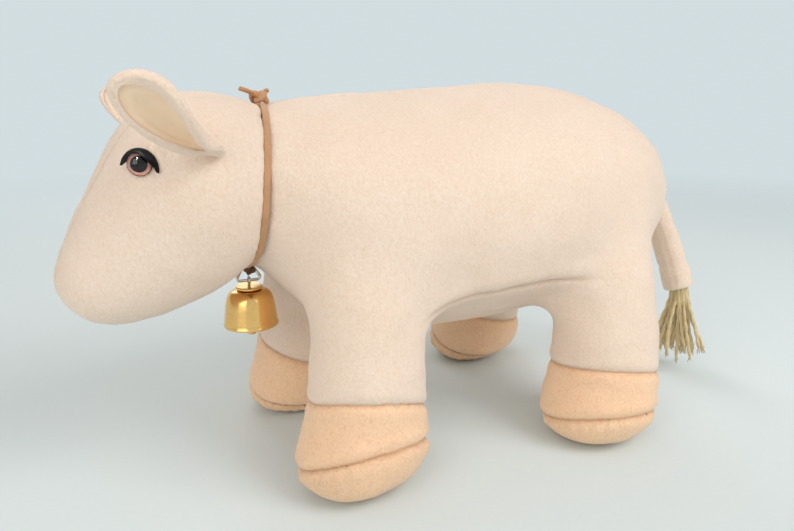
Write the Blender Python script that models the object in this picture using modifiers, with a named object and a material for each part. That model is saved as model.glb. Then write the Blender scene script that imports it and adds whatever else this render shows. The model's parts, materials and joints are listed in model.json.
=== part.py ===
"""A plush cow on four hooves, with a brass bell on a suede neck lace and a yarn tail tassel.

Metres, up +Z, soles on z = 0. The head points to -X and the cow's left side is -Y.
"""

import math

import bmesh
import bpy
from mathutils import Matrix, Vector
from mathutils.bvhtree import BVHTree

for old in list(bpy.data.objects):
    bpy.data.objects.remove(old, do_unlink=True)

# Clearance between pieces that touch.
GAP = 0.0003

# Torso.
TORSO_FRONT = -0.128
TORSO_REAR = 0.158
BELLY_HEIGHT = 0.064
BACK_HEIGHT = 0.205
TORSO_HALF_WIDTH = 0.081

# Head: nose position, slope of its long axis, and sizes along and across that axis.
NOSE_X = -0.201
NOSE_Z = 0.103
HEAD_SLOPE = math.radians(38.0)
HEAD_LENGTH = 0.136
HEAD_RISE = 0.041
HEAD_DROP = 0.049
HEAD_HALF_WIDTH = 0.051

# Legs, hooves and soles.
LEG_RADIUS = 0.030
LEG_TOP = 0.126
FRONT_HOOF_X = -0.0656
FRONT_HOOF_Y = 0.0506
FRONT_HIP_X = -0.0620
FRONT_HIP_Y = 0.0450
FRONT_SEAM_HEIGHT = 0.0445
FRONT_SEAM_TILT = math.radians(6.0)
FRONT_SEAM_ROLL = math.radians(19.0)
FRONT_SOLE_HEIGHT = 0.0180
FRONT_SOLE_TILT = math.radians(-6.0)
FRONT_SOLE_ROLL = math.radians(22.0)
REAR_HOOF_X = 0.0815
REAR_HOOF_Y = 0.0670
REAR_HIP_X = 0.0840
REAR_HIP_Y = 0.0560
REAR_SEAM_HEIGHT = 0.0395
REAR_SEAM_TILT = math.radians(11.0)
REAR_SEAM_ROLL = math.radians(14.0)
REAR_SOLE_HEIGHT = 0.0165
REAR_SOLE_TILT = math.radians(-8.0)
REAR_SOLE_ROLL = math.radians(21.0)
HOOF_TOE = 0.0390
HOOF_HEEL = 0.0325
HOOF_HALF_WIDTH = 0.0330
HOOF_FLARE_HEIGHT = 0.036
SOLE_ROUND_HEIGHT = 0.0145
STAND_CUT = 0.0005

# Ears.
EAR_X = -0.130
EAR_Z = 0.168
EAR_LENGTH = 0.053
EAR_HALF_WIDTH = 0.0155
EAR_POINTS = Vector((-0.76, -0.42, 0.60)).normalized()
EAR_FACES = Vector((-0.30, -0.90, -0.32)).normalized()
EAR_OUTER_THICKNESS = 0.0026
EAR_LINING_THICKNESS = 0.0014
EAR_RIM = 0.0040
EAR_PINCH = 0.35
EAR_ROLL = math.radians(150.0)
EAR_CUP = math.radians(26.0)
EAR_FOLD_RADIUS = 0.0038
EAR_LAP = math.radians(-38.0)

# Eyes.
EYE_X = -0.1600
EYE_Z = 0.1663
EYE_LEVEL = 1.3
EYE_RADIUS = 0.0050
EYE_HEIGHT = 0.0034
EYE_SINK = 0.0010
EYE_BACK_THICKNESS = 0.0010
POST_RADIUS = 0.0020
POST_LENGTH = 0.0120
WASHER_RADIUS = 0.0060
WASHER_THICKNESS = 0.0018
WASHER_DEPTH = 0.0045
LID_RADIUS = 0.0062
LID_TIP = 0.0082
LID_THICKNESS = 0.0008

# Neck lace.
LACE_RADIUS = 0.0013
NECK_X = -0.106
NECK_Z = 0.151
KNOT_SIZE = 0.0016

# Bell and what holds it.
BAIL_WIRE = 0.0008
BAIL_HALF_WIDTH = 0.0060
BAIL_DROP = 0.0072
STAPLE_WIRE = 0.0007
STAPLE_LOOP = 0.0020
COLLAR_RADIUS = 0.0070
COLLAR_THICKNESS = 0.0016
BELL_RADIUS = 0.0145
BELL_HEIGHT = 0.0195
BELL_WALL = 0.0009
CLAPPER_WIRE = 0.0006
CLAPPER_ROD = 0.0012
CLAPPER_BALL = 0.0026
CLAPPER_SHOWS = 0.0062

# Tail and tassel.
TAIL_ROOT_Z = 0.154
TAIL_ROOT_RADIUS = 0.0065
TAIL_END_RADIUS = 0.0100
TAIL_BACK = 0.032
TAIL_SIDE = -0.026
TAIL_FALL = 0.092
TASSEL_KNOB = 0.0070
TASSEL_LENGTH = 0.048
TASSEL_SPREAD = 0.0160

X = Vector((1.0, 0.0, 0.0))
Y = Vector((0.0, 1.0, 0.0))
Z = Vector((0.0, 0.0, 1.0))

parts = bpy.data.collections.new("plush_cow")
cutters = bpy.data.collections.new("cutters")
bpy.context.scene.collection.children.link(parts)
bpy.context.scene.collection.children.link(cutters)


def material(name, colour, roughness, metallic=0.0):
    made = bpy.data.materials.new(name)
    made.use_nodes = True
    shader = made.node_tree.nodes["Principled BSDF"]
    shader.inputs["Base Color"].default_value = (*colour, 1.0)
    shader.inputs["Roughness"].default_value = roughness
    shader.inputs["Metallic"].default_value = metallic
    return made


CREAM_PLUSH = ((0.93, 0.80, 0.68), 0.95, 0.0)
TAN_PLUSH = ((0.82, 0.54, 0.35), 0.95, 0.0)
SOLE_CLOTH = ((0.86, 0.66, 0.48), 0.90, 0.0)
FLEECE = ((0.95, 0.78, 0.63), 0.90, 0.0)
AMBER_LENS = ((0.24, 0.09, 0.05), 0.05, 0.0)
BLACK_PLASTIC = ((0.01, 0.01, 0.01), 0.25, 0.0)
WHITE_PLASTIC = ((0.75, 0.75, 0.72), 0.45, 0.0)
SUEDE = ((0.44, 0.27, 0.14), 0.90, 0.0)
BRASS = ((0.72, 0.50, 0.20), 0.18, 1.0)
CHROME = ((0.78, 0.78, 0.78), 0.12, 1.0)
YARN = ((0.55, 0.44, 0.27), 0.95, 0.0)


def solid(name, mesh, look):
    """Puts a mesh into the parts collection as a named piece with its own material."""
    mesh.name = name
    mesh.materials.clear()
    mesh.materials.append(material(name, *look))
    piece = bpy.data.objects.new(name, mesh)
    parts.objects.link(piece)
    return piece


def cutter(name, mesh):
    """Puts a mesh into the cutters collection, out of sight."""
    tool = bpy.data.objects.new(name, mesh)
    cutters.objects.link(tool)
    tool.hide_render = True
    tool.display_type = "WIRE"
    return tool


def drop(thing):
    """Removes a helper object."""
    bpy.data.objects.remove(thing, do_unlink=True)


def evaluated_mesh(thing):
    """Returns the object's mesh with its modifiers carried out, closed at coincident points."""
    graph = bpy.context.evaluated_depsgraph_get()
    mesh = bpy.data.meshes.new_from_object(thing.evaluated_get(graph))
    shape = bmesh.new()
    shape.from_mesh(mesh)
    bmesh.ops.remove_doubles(shape, verts=shape.verts, dist=1e-6)
    shape.to_mesh(mesh)
    shape.free()
    return mesh


def mesh_of(shape, name):
    """Turns a bmesh into a mesh with outward faces."""
    bmesh.ops.recalc_face_normals(shape, faces=shape.faces)
    mesh = bpy.data.meshes.new(name)
    shape.to_mesh(mesh)
    shape.free()
    return mesh


def subdivided(mesh, levels):
    """Rounds a cage with a Subdivision Surface and returns the rounded mesh."""
    helper = bpy.data.objects.new("cage", mesh)
    cutters.objects.link(helper)
    smooth = helper.modifiers.new("rounding", "SUBSURF")
    smooth.levels = levels
    smooth.render_levels = levels
    rounded = evaluated_mesh(helper)
    drop(helper)
    return rounded


def stuffed_form(rows, across, upward, segments, levels=1, squareness=1.0):
    """One closed stuffed shape: the rings of a sphere carried to the given sections, then rounded.

    Each row is (centre, half size along across, half size along upward); the end rows are points.
    A squareness below 1 fills out the sides of the sections.
    """
    shape = bmesh.new()
    steps = len(rows) - 1
    bmesh.ops.create_uvsphere(shape, u_segments=segments, v_segments=steps, radius=1.0)
    swell = 3.0 / (2.0 + math.cos(2.0 * math.pi / segments))
    for point in shape.verts:
        polar = math.acos(max(-1.0, min(1.0, point.co.z)))
        turn = math.atan2(point.co.y, point.co.x)
        centre, half_across, half_upward = rows[round(polar / math.pi * steps)]
        beside = math.copysign(abs(math.cos(turn)) ** squareness, math.cos(turn))
        sideways = across * (half_across * swell * beside)
        point.co = centre + sideways + upward * (half_upward * swell * math.sin(turn))
    return subdivided(mesh_of(shape, "form"), levels)


def kept_side(mesh, point, normal):
    """Cuts a closed mesh at a plane, keeps the side the normal points to and closes the cut."""
    shape = bmesh.new()
    shape.from_mesh(mesh)
    whole = list(shape.verts) + list(shape.edges) + list(shape.faces)
    bmesh.ops.bisect_plane(
        shape, geom=whole, plane_co=point, plane_no=normal, dist=1e-7, clear_inner=True
    )
    rim = [edge for edge in shape.edges if edge.is_boundary]
    bmesh.ops.edgeloop_fill(shape, edges=rim)
    return mesh_of(shape, "cut")


def turned(profile, segments):
    """Turns a closed outline of (radius, height) points about Z; points on the axis are merged."""
    shape = bmesh.new()
    corners = [shape.verts.new((radius, 0.0, height)) for radius, height in profile]
    for first, second in zip(corners, corners[1:] + corners[:1]):
        if first.co.x > 0.0 or second.co.x > 0.0:
            shape.edges.new((first, second))
    helper = bpy.data.objects.new("outline", bpy.data.meshes.new("outline"))
    shape.to_mesh(helper.data)
    shape.free()
    cutters.objects.link(helper)
    screw = helper.modifiers.new("turning", "SCREW")
    screw.axis = "Z"
    screw.angle = 2.0 * math.pi
    screw.steps = segments
    screw.render_steps = segments
    screw.use_merge_vertices = True
    screw.merge_threshold = 1e-6
    made = evaluated_mesh(helper)
    drop(helper)
    shape = bmesh.new()
    shape.from_mesh(made)
    return mesh_of(shape, "turned")


def wire(points, radius, cyclic=False, sides=2):
    """A round wire or lace along the given points, with closed ends, as a mesh."""
    curve = bpy.data.curves.new("wire", "CURVE")
    curve.dimensions = "3D"
    curve.bevel_depth = radius
    curve.bevel_resolution = sides
    curve.use_fill_caps = True
    line = curve.splines.new("POLY")
    line.points.add(len(points) - 1)
    for knot, place in zip(line.points, points):
        knot.co = (*place, 1.0)
    line.use_cyclic_u = cyclic
    helper = bpy.data.objects.new("wire", curve)
    cutters.objects.link(helper)
    made = evaluated_mesh(helper)
    drop(helper)
    shape = bmesh.new()
    shape.from_mesh(made)
    return mesh_of(shape, "wire")


def moved(mesh, matrix):
    """Returns the mesh after a placing matrix."""
    mesh.transform(matrix)
    return mesh


def mirrored(mesh):
    """Returns the mesh's mirror image across the cow's middle plane."""
    copy = mesh.copy()
    copy.transform(Matrix.Scale(-1.0, 4, Y))
    copy.flip_normals()
    return copy


def boolean(piece, operation, tool):
    """Adds an exact Boolean with a hidden tool."""
    step = piece.modifiers.new(operation.lower(), "BOOLEAN")
    step.operation = operation
    step.solver = "EXACT"
    step.object = tool


def joined(meshes, names):
    """Unites overlapping meshes into one closed mesh."""
    base = bpy.data.objects.new("base", meshes[0])
    cutters.objects.link(base)
    tools = [cutter(name, mesh) for name, mesh in zip(names, meshes[1:])]
    for tool in tools:
        boolean(base, "UNION", tool)
    made = evaluated_mesh(base)
    for helper in [base] + tools:
        drop(helper)
    return made


def surface_of(meshes):
    """A searchable surface over several meshes in the same frame."""
    places = []
    faces = []
    for mesh in meshes:
        first = len(places)
        places += [point.co.copy() for point in mesh.vertices]
        faces += [[first + index for index in face.vertices] for face in mesh.polygons]
    return BVHTree.FromPolygons(places, faces)


def frame_at(origin, normal, forward):
    """A placing matrix with Z along normal and X along the forward direction as far as it can."""
    side = normal.cross(forward).normalized()
    ahead = side.cross(normal).normalized()
    turn = Matrix((ahead, side, normal)).transposed().to_4x4()
    return Matrix.Translation(origin) @ turn


# Torso: shares of its length, of its height and of its half width.
TORSO_SHAPE = (
    (0.000, 0.58, 0.58, 0.00),
    (0.028, 0.42, 0.80, 0.34),
    (0.075, 0.33, 0.875, 0.55),
    (0.150, 0.13, 0.92, 0.77),
    (0.266, 0.03, 0.935, 0.91),
    (0.437, 0.00, 0.96, 0.97),
    (0.625, 0.01, 1.00, 1.00),
    (0.800, 0.06, 0.955, 0.95),
    (0.925, 0.18, 0.82, 0.69),
    (0.980, 0.33, 0.68, 0.41),
    (1.000, 0.51, 0.51, 0.00),
)


def torso_mesh(extra):
    """The torso, grown all round by an extra clearance."""
    rows = []
    height = BACK_HEIGHT - BELLY_HEIGHT
    for along, low, high, width in TORSO_SHAPE:
        x = TORSO_FRONT + along * (TORSO_REAR - TORSO_FRONT)
        bottom = BELLY_HEIGHT + low * height
        top = BELLY_HEIGHT + high * height
        grow = extra if width > 0.0 else 0.0
        end = extra if along == 1.0 else -extra if along == 0.0 else 0.0
        centre = Vector((x + end, 0.0, 0.5 * (bottom + top)))
        rows.append((centre, width * TORSO_HALF_WIDTH + grow, 0.5 * (top - bottom) + grow))
    return stuffed_form(rows, Y, Z, 14)


torso_skin = torso_mesh(0.0)
torso = solid("torso", torso_skin, CREAM_PLUSH)
torso_clearance = cutter("torso_clearance", torso_mesh(GAP))

# Head: shares of its length, rise, drop and half width along its sloping axis.
HEAD_SHAPE = (
    (0.000, -0.15, 0.12, 0.00),
    (0.035, 0.16, 0.44, 0.36),
    (0.110, 0.33, 0.65, 0.53),
    (0.240, 0.54, 0.82, 0.66),
    (0.400, 0.76, 0.97, 0.82),
    (0.550, 0.99, 1.00, 0.96),
    (0.700, 1.01, 0.88, 1.00),
    (0.835, 0.80, 0.65, 0.80),
    (0.945, 0.34, 0.33, 0.44),
    (1.000, 0.07, -0.06, 0.00),
)
HEAD_ALONG = Vector((math.cos(HEAD_SLOPE), 0.0, math.sin(HEAD_SLOPE)))
HEAD_UP = Vector((-math.sin(HEAD_SLOPE), 0.0, math.cos(HEAD_SLOPE)))
NOSE = Vector((NOSE_X, 0.0, NOSE_Z))

head_rows = []
for along, rise, fall, width in HEAD_SHAPE:
    middle = 0.5 * (rise * HEAD_RISE - fall * HEAD_DROP)
    half = 0.5 * (rise * HEAD_RISE + fall * HEAD_DROP) if width > 0.0 else 0.0
    centre = NOSE + HEAD_ALONG * (along * HEAD_LENGTH) + HEAD_UP * middle
    head_rows.append((centre, width * HEAD_HALF_WIDTH, half))
head_skin = stuffed_form(head_rows, Y, HEAD_UP, 12, squareness=0.8)
head = solid("head", head_skin, CREAM_PLUSH)
boolean(head, "DIFFERENCE", torso_clearance)

# Legs, hooves and soles: one swelling limb from sole to hip, cut apart at its two seams.
# Each row is a height, a blend from leg to hoof and a share of the section's size.
LIMB_SHAPE = (
    (-STAND_CUT, 1.0, 0.00),
    (STAND_CUT, 1.0, 0.48),
    (0.28 * SOLE_ROUND_HEIGHT, 1.0, 0.76),
    (0.80 * SOLE_ROUND_HEIGHT, 1.0, 0.955),
    (0.52 * HOOF_FLARE_HEIGHT, 1.0, 1.00),
    (0.78 * HOOF_FLARE_HEIGHT, 0.7, 1.00),
    (1.08 * HOOF_FLARE_HEIGHT, 0.1, 1.00),
    (1.50 * HOOF_FLARE_HEIGHT, 0.0, 0.99),
    (0.68 * LEG_TOP, 0.0, 1.00),
    (0.86 * LEG_TOP, 0.0, 0.96),
    (0.97 * LEG_TOP, 0.0, 0.60),
    (LEG_TOP, 0.0, 0.00),
)


def limb(hoof_x, hoof_y, hip_x, hip_y):
    """The whole left limb as one closed form."""
    rows = []
    for height, hoof, size in LIMB_SHAPE:
        toe = LEG_RADIUS + hoof * (HOOF_TOE - LEG_RADIUS)
        heel = LEG_RADIUS + hoof * (HOOF_HEEL - LEG_RADIUS)
        wide = LEG_RADIUS + hoof * (HOOF_HALF_WIDTH - LEG_RADIUS)
        climb = max(0.0, (height - HOOF_FLARE_HEIGHT) / (LEG_TOP - HOOF_FLARE_HEIGHT))
        x = hoof_x + climb * (hip_x - hoof_x) + 0.5 * (heel - toe)
        y = -(hoof_y + climb * (hip_y - hoof_y))
        rows.append((Vector((x, y, height)), 0.5 * (toe + heel) * size, wide * size))
    return stuffed_form(rows, X, Y, 10)


def limb_pieces(place, hoof_x, hoof_y, hip_x, hip_y, seam_cut, sole_cut):
    """Cuts a limb into leg, hoof and sole for both sides of the cow; a cut is its height, tilt and roll."""
    whole = limb(hoof_x, hoof_y, hip_x, hip_y)
    seam = Vector((hoof_x, -hoof_y, seam_cut[0]))
    slope = Vector((math.tan(seam_cut[1]), math.tan(seam_cut[2]), 1.0)).normalized()
    sole_seam = Vector((hoof_x, -hoof_y, sole_cut[0]))
    sole_slope = Vector((math.tan(sole_cut[1]), math.tan(sole_cut[2]), 1.0)).normalized()
    upper = kept_side(whole, seam + slope * (0.5 * GAP), slope)
    middle = kept_side(whole, seam - slope * (0.5 * GAP), -slope)
    middle = kept_side(middle, sole_seam + sole_slope * (0.5 * GAP), sole_slope)
    lower = kept_side(whole, sole_seam - sole_slope * (0.5 * GAP), -sole_slope)
    lower = kept_side(lower, Vector((0.0, 0.0, 0.0)), Z)
    for kind, mesh, look in (
        ("leg", upper, CREAM_PLUSH),
        ("hoof", middle, TAN_PLUSH),
        ("sole", lower, SOLE_CLOTH),
    ):
        for side, shape in (("left", mesh), ("right", mirrored(mesh))):
            piece = solid(f"{kind}_{place}_{side}", shape, look)
            if kind == "leg":
                boolean(piece, "DIFFERENCE", torso_clearance)


limb_pieces(
    "front",
    FRONT_HOOF_X,
    FRONT_HOOF_Y,
    FRONT_HIP_X,
    FRONT_HIP_Y,
    (FRONT_SEAM_HEIGHT, FRONT_SEAM_TILT, FRONT_SEAM_ROLL),
    (FRONT_SOLE_HEIGHT, FRONT_SOLE_TILT, FRONT_SOLE_ROLL),
)
limb_pieces(
    "rear",
    REAR_HOOF_X,
    REAR_HOOF_Y,
    REAR_HIP_X,
    REAR_HIP_Y,
    (REAR_SEAM_HEIGHT, REAR_SEAM_TILT, REAR_SEAM_ROLL),
    (REAR_SOLE_HEIGHT, REAR_SOLE_TILT, REAR_SOLE_ROLL),
)

head_surface = surface_of([head_skin])
body_surface = surface_of([torso_skin])


def left_side_of_head(x, z):
    """The point and outward normal of the head's left side at a given x and z."""
    place, normal, _, _ = head_surface.ray_cast(Vector((x, -1.0, z)), Y)
    return place, normal


# Ears: a leaf, pinched at the base and cupped, with a lining inside its rim.
ear_seat, ear_normal = left_side_of_head(EAR_X, EAR_Z)
EAR_ACROSS = EAR_FACES.cross(EAR_POINTS).normalized()
EAR_OPEN = EAR_POINTS.cross(EAR_ACROSS).normalized()
EAR_ROOT = ear_seat + ear_normal * (EAR_OUTER_THICKNESS + GAP)


def ear_leaf(inset, lift, thickness, outward):
    """A leaf, pinched and rolled at its base and cupped towards its tip, bent from a disc and thickened."""
    shape = bmesh.new()
    bmesh.ops.create_grid(shape, x_segments=8, y_segments=8, size=1.0)
    for point in shape.verts:
        u = point.co.x
        v = point.co.y
        along = u * math.sqrt(1.0 - 0.5 * v * v)
        beside = v * math.sqrt(1.0 - 0.5 * u * u)
        share = 0.5 * (1.0 + along)
        length = inset + share * (EAR_LENGTH - 2.0 * inset)
        breadth = (EAR_HALF_WIDTH - inset) * max(share, 0.02) ** EAR_PINCH
        roll = EAR_ROLL * (1.0 - share) ** 1.3 + EAR_CUP
        bend = min(roll, breadth / EAR_FOLD_RADIUS)
        radius = breadth / bend
        turn = beside * bend + EAR_LAP * (1.0 - share)
        sideways = EAR_ACROSS * ((radius - lift) * math.sin(turn))
        depth = EAR_OPEN * (radius - (radius - lift) * math.cos(turn))
        point.co = EAR_ROOT + EAR_POINTS * length + sideways + depth
    helper = bpy.data.objects.new("leaf", bpy.data.meshes.new("leaf"))
    shape.normal_update()
    if sum((face.normal.dot(EAR_OPEN) for face in shape.faces)) < 0.0:
        bmesh.ops.reverse_faces(shape, faces=shape.faces)
    shape.to_mesh(helper.data)
    shape.free()
    cutters.objects.link(helper)
    thick = helper.modifiers.new("thickness", "SOLIDIFY")
    thick.thickness = thickness
    thick.offset = outward
    made = evaluated_mesh(helper)
    drop(helper)
    return made


def ear_spare():
    """How far the ear's outer leaf stands off the head at its nearest point."""
    leaf = ear_leaf(0.0, 0.0, EAR_OUTER_THICKNESS, -1.0)
    spare = min(signed_distance(head_surface, point.co) for point in leaf.vertices)
    bpy.data.meshes.remove(leaf)
    return spare


def signed_distance(surface, place):
    """Distance of a place from a surface, negative inside it."""
    nearest, normal, _, distance = surface.find_nearest(place)
    return math.copysign(distance, (place - nearest).dot(normal))


for _ in range(6):
    EAR_ROOT = EAR_ROOT - ear_normal * (ear_spare() - GAP)
ear_outer = ear_leaf(0.0, 0.0, EAR_OUTER_THICKNESS, -1.0)
ear_lining = ear_leaf(EAR_RIM, GAP, EAR_LINING_THICKNESS, 1.0)
for kind, mesh, look in (("ear_outer", ear_outer, CREAM_PLUSH), ("ear_lining", ear_lining, FLEECE)):
    solid(f"{kind}_left", mesh, look)
    solid(f"{kind}_right", mirrored(mesh), look)

# Eyes: lens, backing with post, washer behind the cloth, and lid over the top.
eye_seat, eye_normal = left_side_of_head(EYE_X, EYE_Z)
eye_axis = (eye_normal - Y * EYE_LEVEL).normalized()
eye_place = frame_at(eye_seat, eye_axis, -X)
LENS_BASE = -EYE_SINK + EYE_BACK_THICKNESS + GAP
LENS_CURVE = (EYE_RADIUS**2 + EYE_HEIGHT**2) / (2.0 * EYE_HEIGHT)
LENS_CENTRE = LENS_BASE + EYE_HEIGHT - LENS_CURVE

lens_profile = [(0.0, LENS_BASE), (EYE_RADIUS, LENS_BASE)]
lens_reach = math.asin(EYE_RADIUS / LENS_CURVE)
for step in range(4, -1, -1):
    angle = lens_reach * step / 5.0
    lens_profile.append((LENS_CURVE * math.sin(angle), LENS_CENTRE + LENS_CURVE * math.cos(angle)))
lens = moved(turned(lens_profile, 20), eye_place)

post_end = -EYE_SINK - POST_LENGTH
backing_profile = [
    (0.0, -EYE_SINK + EYE_BACK_THICKNESS),
    (EYE_RADIUS, -EYE_SINK + EYE_BACK_THICKNESS),
    (EYE_RADIUS, -EYE_SINK),
    (POST_RADIUS, -EYE_SINK),
    (POST_RADIUS, post_end),
    (0.0, post_end),
]
backing = moved(turned(backing_profile, 20), eye_place)

washer_top = -EYE_SINK - WASHER_DEPTH
washer_foot = washer_top - WASHER_THICKNESS
washer_profile = [
    (POST_RADIUS + GAP, washer_top),
    (WASHER_RADIUS, washer_top),
    (WASHER_RADIUS, washer_foot),
    (POST_RADIUS + GAP, washer_foot),
]
washer = moved(turned(washer_profile, 20), eye_place)

socket_profile = [
    (0.0, LID_TIP),
    (LID_TIP + GAP, LID_TIP),
    (LID_TIP + GAP, 0.0),
    (EYE_RADIUS + GAP, 0.0),
    (EYE_RADIUS + GAP, -EYE_SINK - GAP),
    (POST_RADIUS + GAP, -EYE_SINK - GAP),
    (POST_RADIUS + GAP, washer_top + GAP),
    (WASHER_RADIUS + GAP, washer_top + GAP),
    (WASHER_RADIUS + GAP, washer_foot - GAP),
    (POST_RADIUS + GAP, washer_foot - GAP),
    (POST_RADIUS + GAP, post_end - GAP),
    (0.0, post_end - GAP),
]
socket = moved(turned(socket_profile, 20), eye_place)
boolean(head, "DIFFERENCE", cutter("eye_socket_left", socket))
boolean(head, "DIFFERENCE", cutter("eye_socket_right", mirrored(socket)))

# Lid: a strip over the lens from the front corner to the rear one, drawn out to a point at both.
LID_FRONT = math.radians(0.0)
LID_REAR = math.radians(208.0)


def lid_mesh():
    """The black eyelid, in the eye's own frame, thickened away from the lens."""
    shape = bmesh.new()
    bmesh.ops.create_grid(shape, x_segments=14, y_segments=3, size=1.0)
    clear = LENS_CURVE + GAP
    for point in shape.verts:
        share = 0.5 * (1.0 + point.co.x)
        turn = LID_FRONT + share * (LID_REAR - LID_FRONT)
        tip = abs(2.0 * share - 1.0) ** 5
        outer = LID_RADIUS + tip * (LID_TIP - LID_RADIUS)
        cover = 0.90 - 0.22 * math.sin(math.pi * min(1.0, share * 1.15)) ** 2 * share
        inner = EYE_RADIUS * cover + (abs(2.0 * share - 1.0) ** 3) * (outer - 0.0008 - EYE_RADIUS * cover)
        reach = inner + 0.5 * (1.0 + point.co.y) * (outer - inner)
        rise = LENS_CENTRE + math.sqrt(max(0.0, clear * clear - reach * reach))
        height = max(GAP, rise) if reach < clear else GAP
        point.co = (reach * math.cos(turn), -reach * math.sin(turn), height)
    helper = bpy.data.objects.new("lid", bpy.data.meshes.new("lid"))
    shape.normal_update()
    if sum((face.normal.z for face in shape.faces)) < 0.0:
        bmesh.ops.reverse_faces(shape, faces=shape.faces)
    shape.to_mesh(helper.data)
    shape.free()
    cutters.objects.link(helper)
    thick = helper.modifiers.new("thickness", "SOLIDIFY")
    thick.thickness = LID_THICKNESS
    thick.offset = 1.0
    made = evaluated_mesh(helper)
    drop(helper)
    return made


lid = moved(lid_mesh(), eye_place)
for kind, mesh, look in (
    ("eye_lens", lens, AMBER_LENS),
    ("eye_backing", backing, BLACK_PLASTIC),
    ("eye_washer", washer, WHITE_PLASTIC),
    ("eyelid", lid, BLACK_PLASTIC),
):
    solid(f"{kind}_left", mesh, look)
    solid(f"{kind}_right", mirrored(mesh), look)

# Neck lace: lies in the crease between head and torso, and dips below it where the bail hangs.
neck_surface = surface_of([torso_skin, head_skin])
BAIL_CURVE = LACE_RADIUS + GAP + BAIL_WIRE
LACE_POINTS = 41


def lace_place(turn):
    """The deepest place in the crease for the lace at one angle round the neck."""
    best = None
    outward = Vector((0.0, -math.sin(turn), math.cos(turn)))
    for step in range(-10, 11):
        start = Vector((NECK_X + step * 0.0012, 0.0, NECK_Z))
        reach = 0.090
        for _ in range(60):
            spot = start + outward * reach
            near = math.exp(-((spot.y / 0.008) ** 2)) if outward.z < 0.0 else 0.0
            room = LACE_RADIUS + 2.0 * GAP + near * (BAIL_CURVE + BAIL_WIRE - LACE_RADIUS)
            spare = neck_surface.find_nearest(spot)[3] - room
            if spare < 0.00002:
                break
            reach -= 0.9 * spare
        if best is None or reach < best[0]:
            best = (reach, start + outward * reach)
    return best[1]


KNOT_HALF = 3.6 * KNOT_SIZE
lace_turns = [2.0 * math.pi * (step + 0.5) / LACE_POINTS for step in range(LACE_POINTS)]
lace_route = [lace_place(turn) for turn in lace_turns]
for _ in range(2):
    for index in range(1, LACE_POINTS - 1):
        if abs(lace_route[index].y) < 0.010 and lace_route[index].z < NECK_Z:
            continue
        ahead = 0.5 * (lace_route[index - 1].x + lace_route[index + 1].x)
        lace_route[index].x = 0.5 * (lace_route[index].x + ahead)
lace_bottom = lace_route[LACE_POINTS // 2].copy()
lace_top = 0.5 * (lace_route[0] + lace_route[-1])
lace_route = [place for place in lace_route if abs(place.y) > KNOT_HALF or place.z < NECK_Z]
neck_lace = solid("neck_lace", wire(lace_route, LACE_RADIUS, sides=1), SUEDE)

# Knot: a half knot of the same lace, with two short ends.
knot_route = []
for step in range(37):
    angle = 2.0 * math.pi * (step / 36.0) * 0.97 + 0.05
    knot_route.append(
        Vector(
            (
                KNOT_SIZE * 1.0 * (math.cos(angle) - 2.0 * math.cos(2.0 * angle)),
                KNOT_SIZE * 1.0 * (math.sin(angle) + 2.0 * math.sin(2.0 * angle)),
                KNOT_SIZE * 1.3 * -math.sin(3.0 * angle),
            )
        )
    )
KNOT_WIRE = 0.72 * LACE_RADIUS


def knot_spare(centre):
    """The least room between the knot at a place and the nape under it."""
    rooms = []
    for place in knot_route:
        near, normal, _, _ = neck_surface.find_nearest(centre + place)
        rooms.append((centre + place - near).dot(normal) - KNOT_WIRE)
    return min(rooms)


knot_centre = lace_top + Z * KNOT_SIZE
while knot_spare(knot_centre) < GAP:
    knot_centre = knot_centre + Z * (0.2 * GAP)
knot_mesh = moved(wire(knot_route, KNOT_WIRE, sides=1), Matrix.Translation(knot_centre))
lace_knot = solid("lace_knot", knot_mesh, SUEDE)

# Bail: a wire triangle that turns on the lace; its foot bar carries the bell's staple.
bail_centre = lace_bottom
bail_route = []
for step in range(9):
    angle = math.radians(160.0 - 140.0 * step / 8.0)
    bail_route.append(Vector((BAIL_CURVE * math.cos(angle), 0.0, BAIL_CURVE * math.sin(angle))))
BAIL_CORNER = 0.0015
for side in (1.0, -1.0):
    for step in range(5):
        angle = math.radians(10.0 - 100.0 * step / 4.0)
        if side < 0.0:
            angle = math.pi - math.radians(-90.0 + 100.0 * step / 4.0)
        x = side * (BAIL_HALF_WIDTH - BAIL_CORNER) + BAIL_CORNER * math.cos(angle)
        bail_route.append(Vector((x, 0.0, -BAIL_DROP + BAIL_CORNER + BAIL_CORNER * math.sin(angle))))
bail_mesh = moved(wire(bail_route, BAIL_WIRE, cyclic=True), Matrix.Translation(bail_centre))
bell_bail = solid("bell_bail", bail_mesh, CHROME)

# Bell: collar, shell and staple stand below the bail's foot bar; the clapper hooks on the staple.
bar = bail_centre - Z * BAIL_DROP
STAPLE_HOOK = BAIL_WIRE + GAP + STAPLE_WIRE
collar_top = -STAPLE_HOOK - STAPLE_WIRE - GAP
collar_foot = collar_top - COLLAR_THICKNESS
crown = collar_foot - GAP
rim = crown - BELL_HEIGHT
loop_height = crown - BELL_WALL - GAP - STAPLE_WIRE - STAPLE_LOOP - GAP
clapper_pivot = loop_height - STAPLE_LOOP
bell_place = Matrix.Translation(bar)

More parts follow.
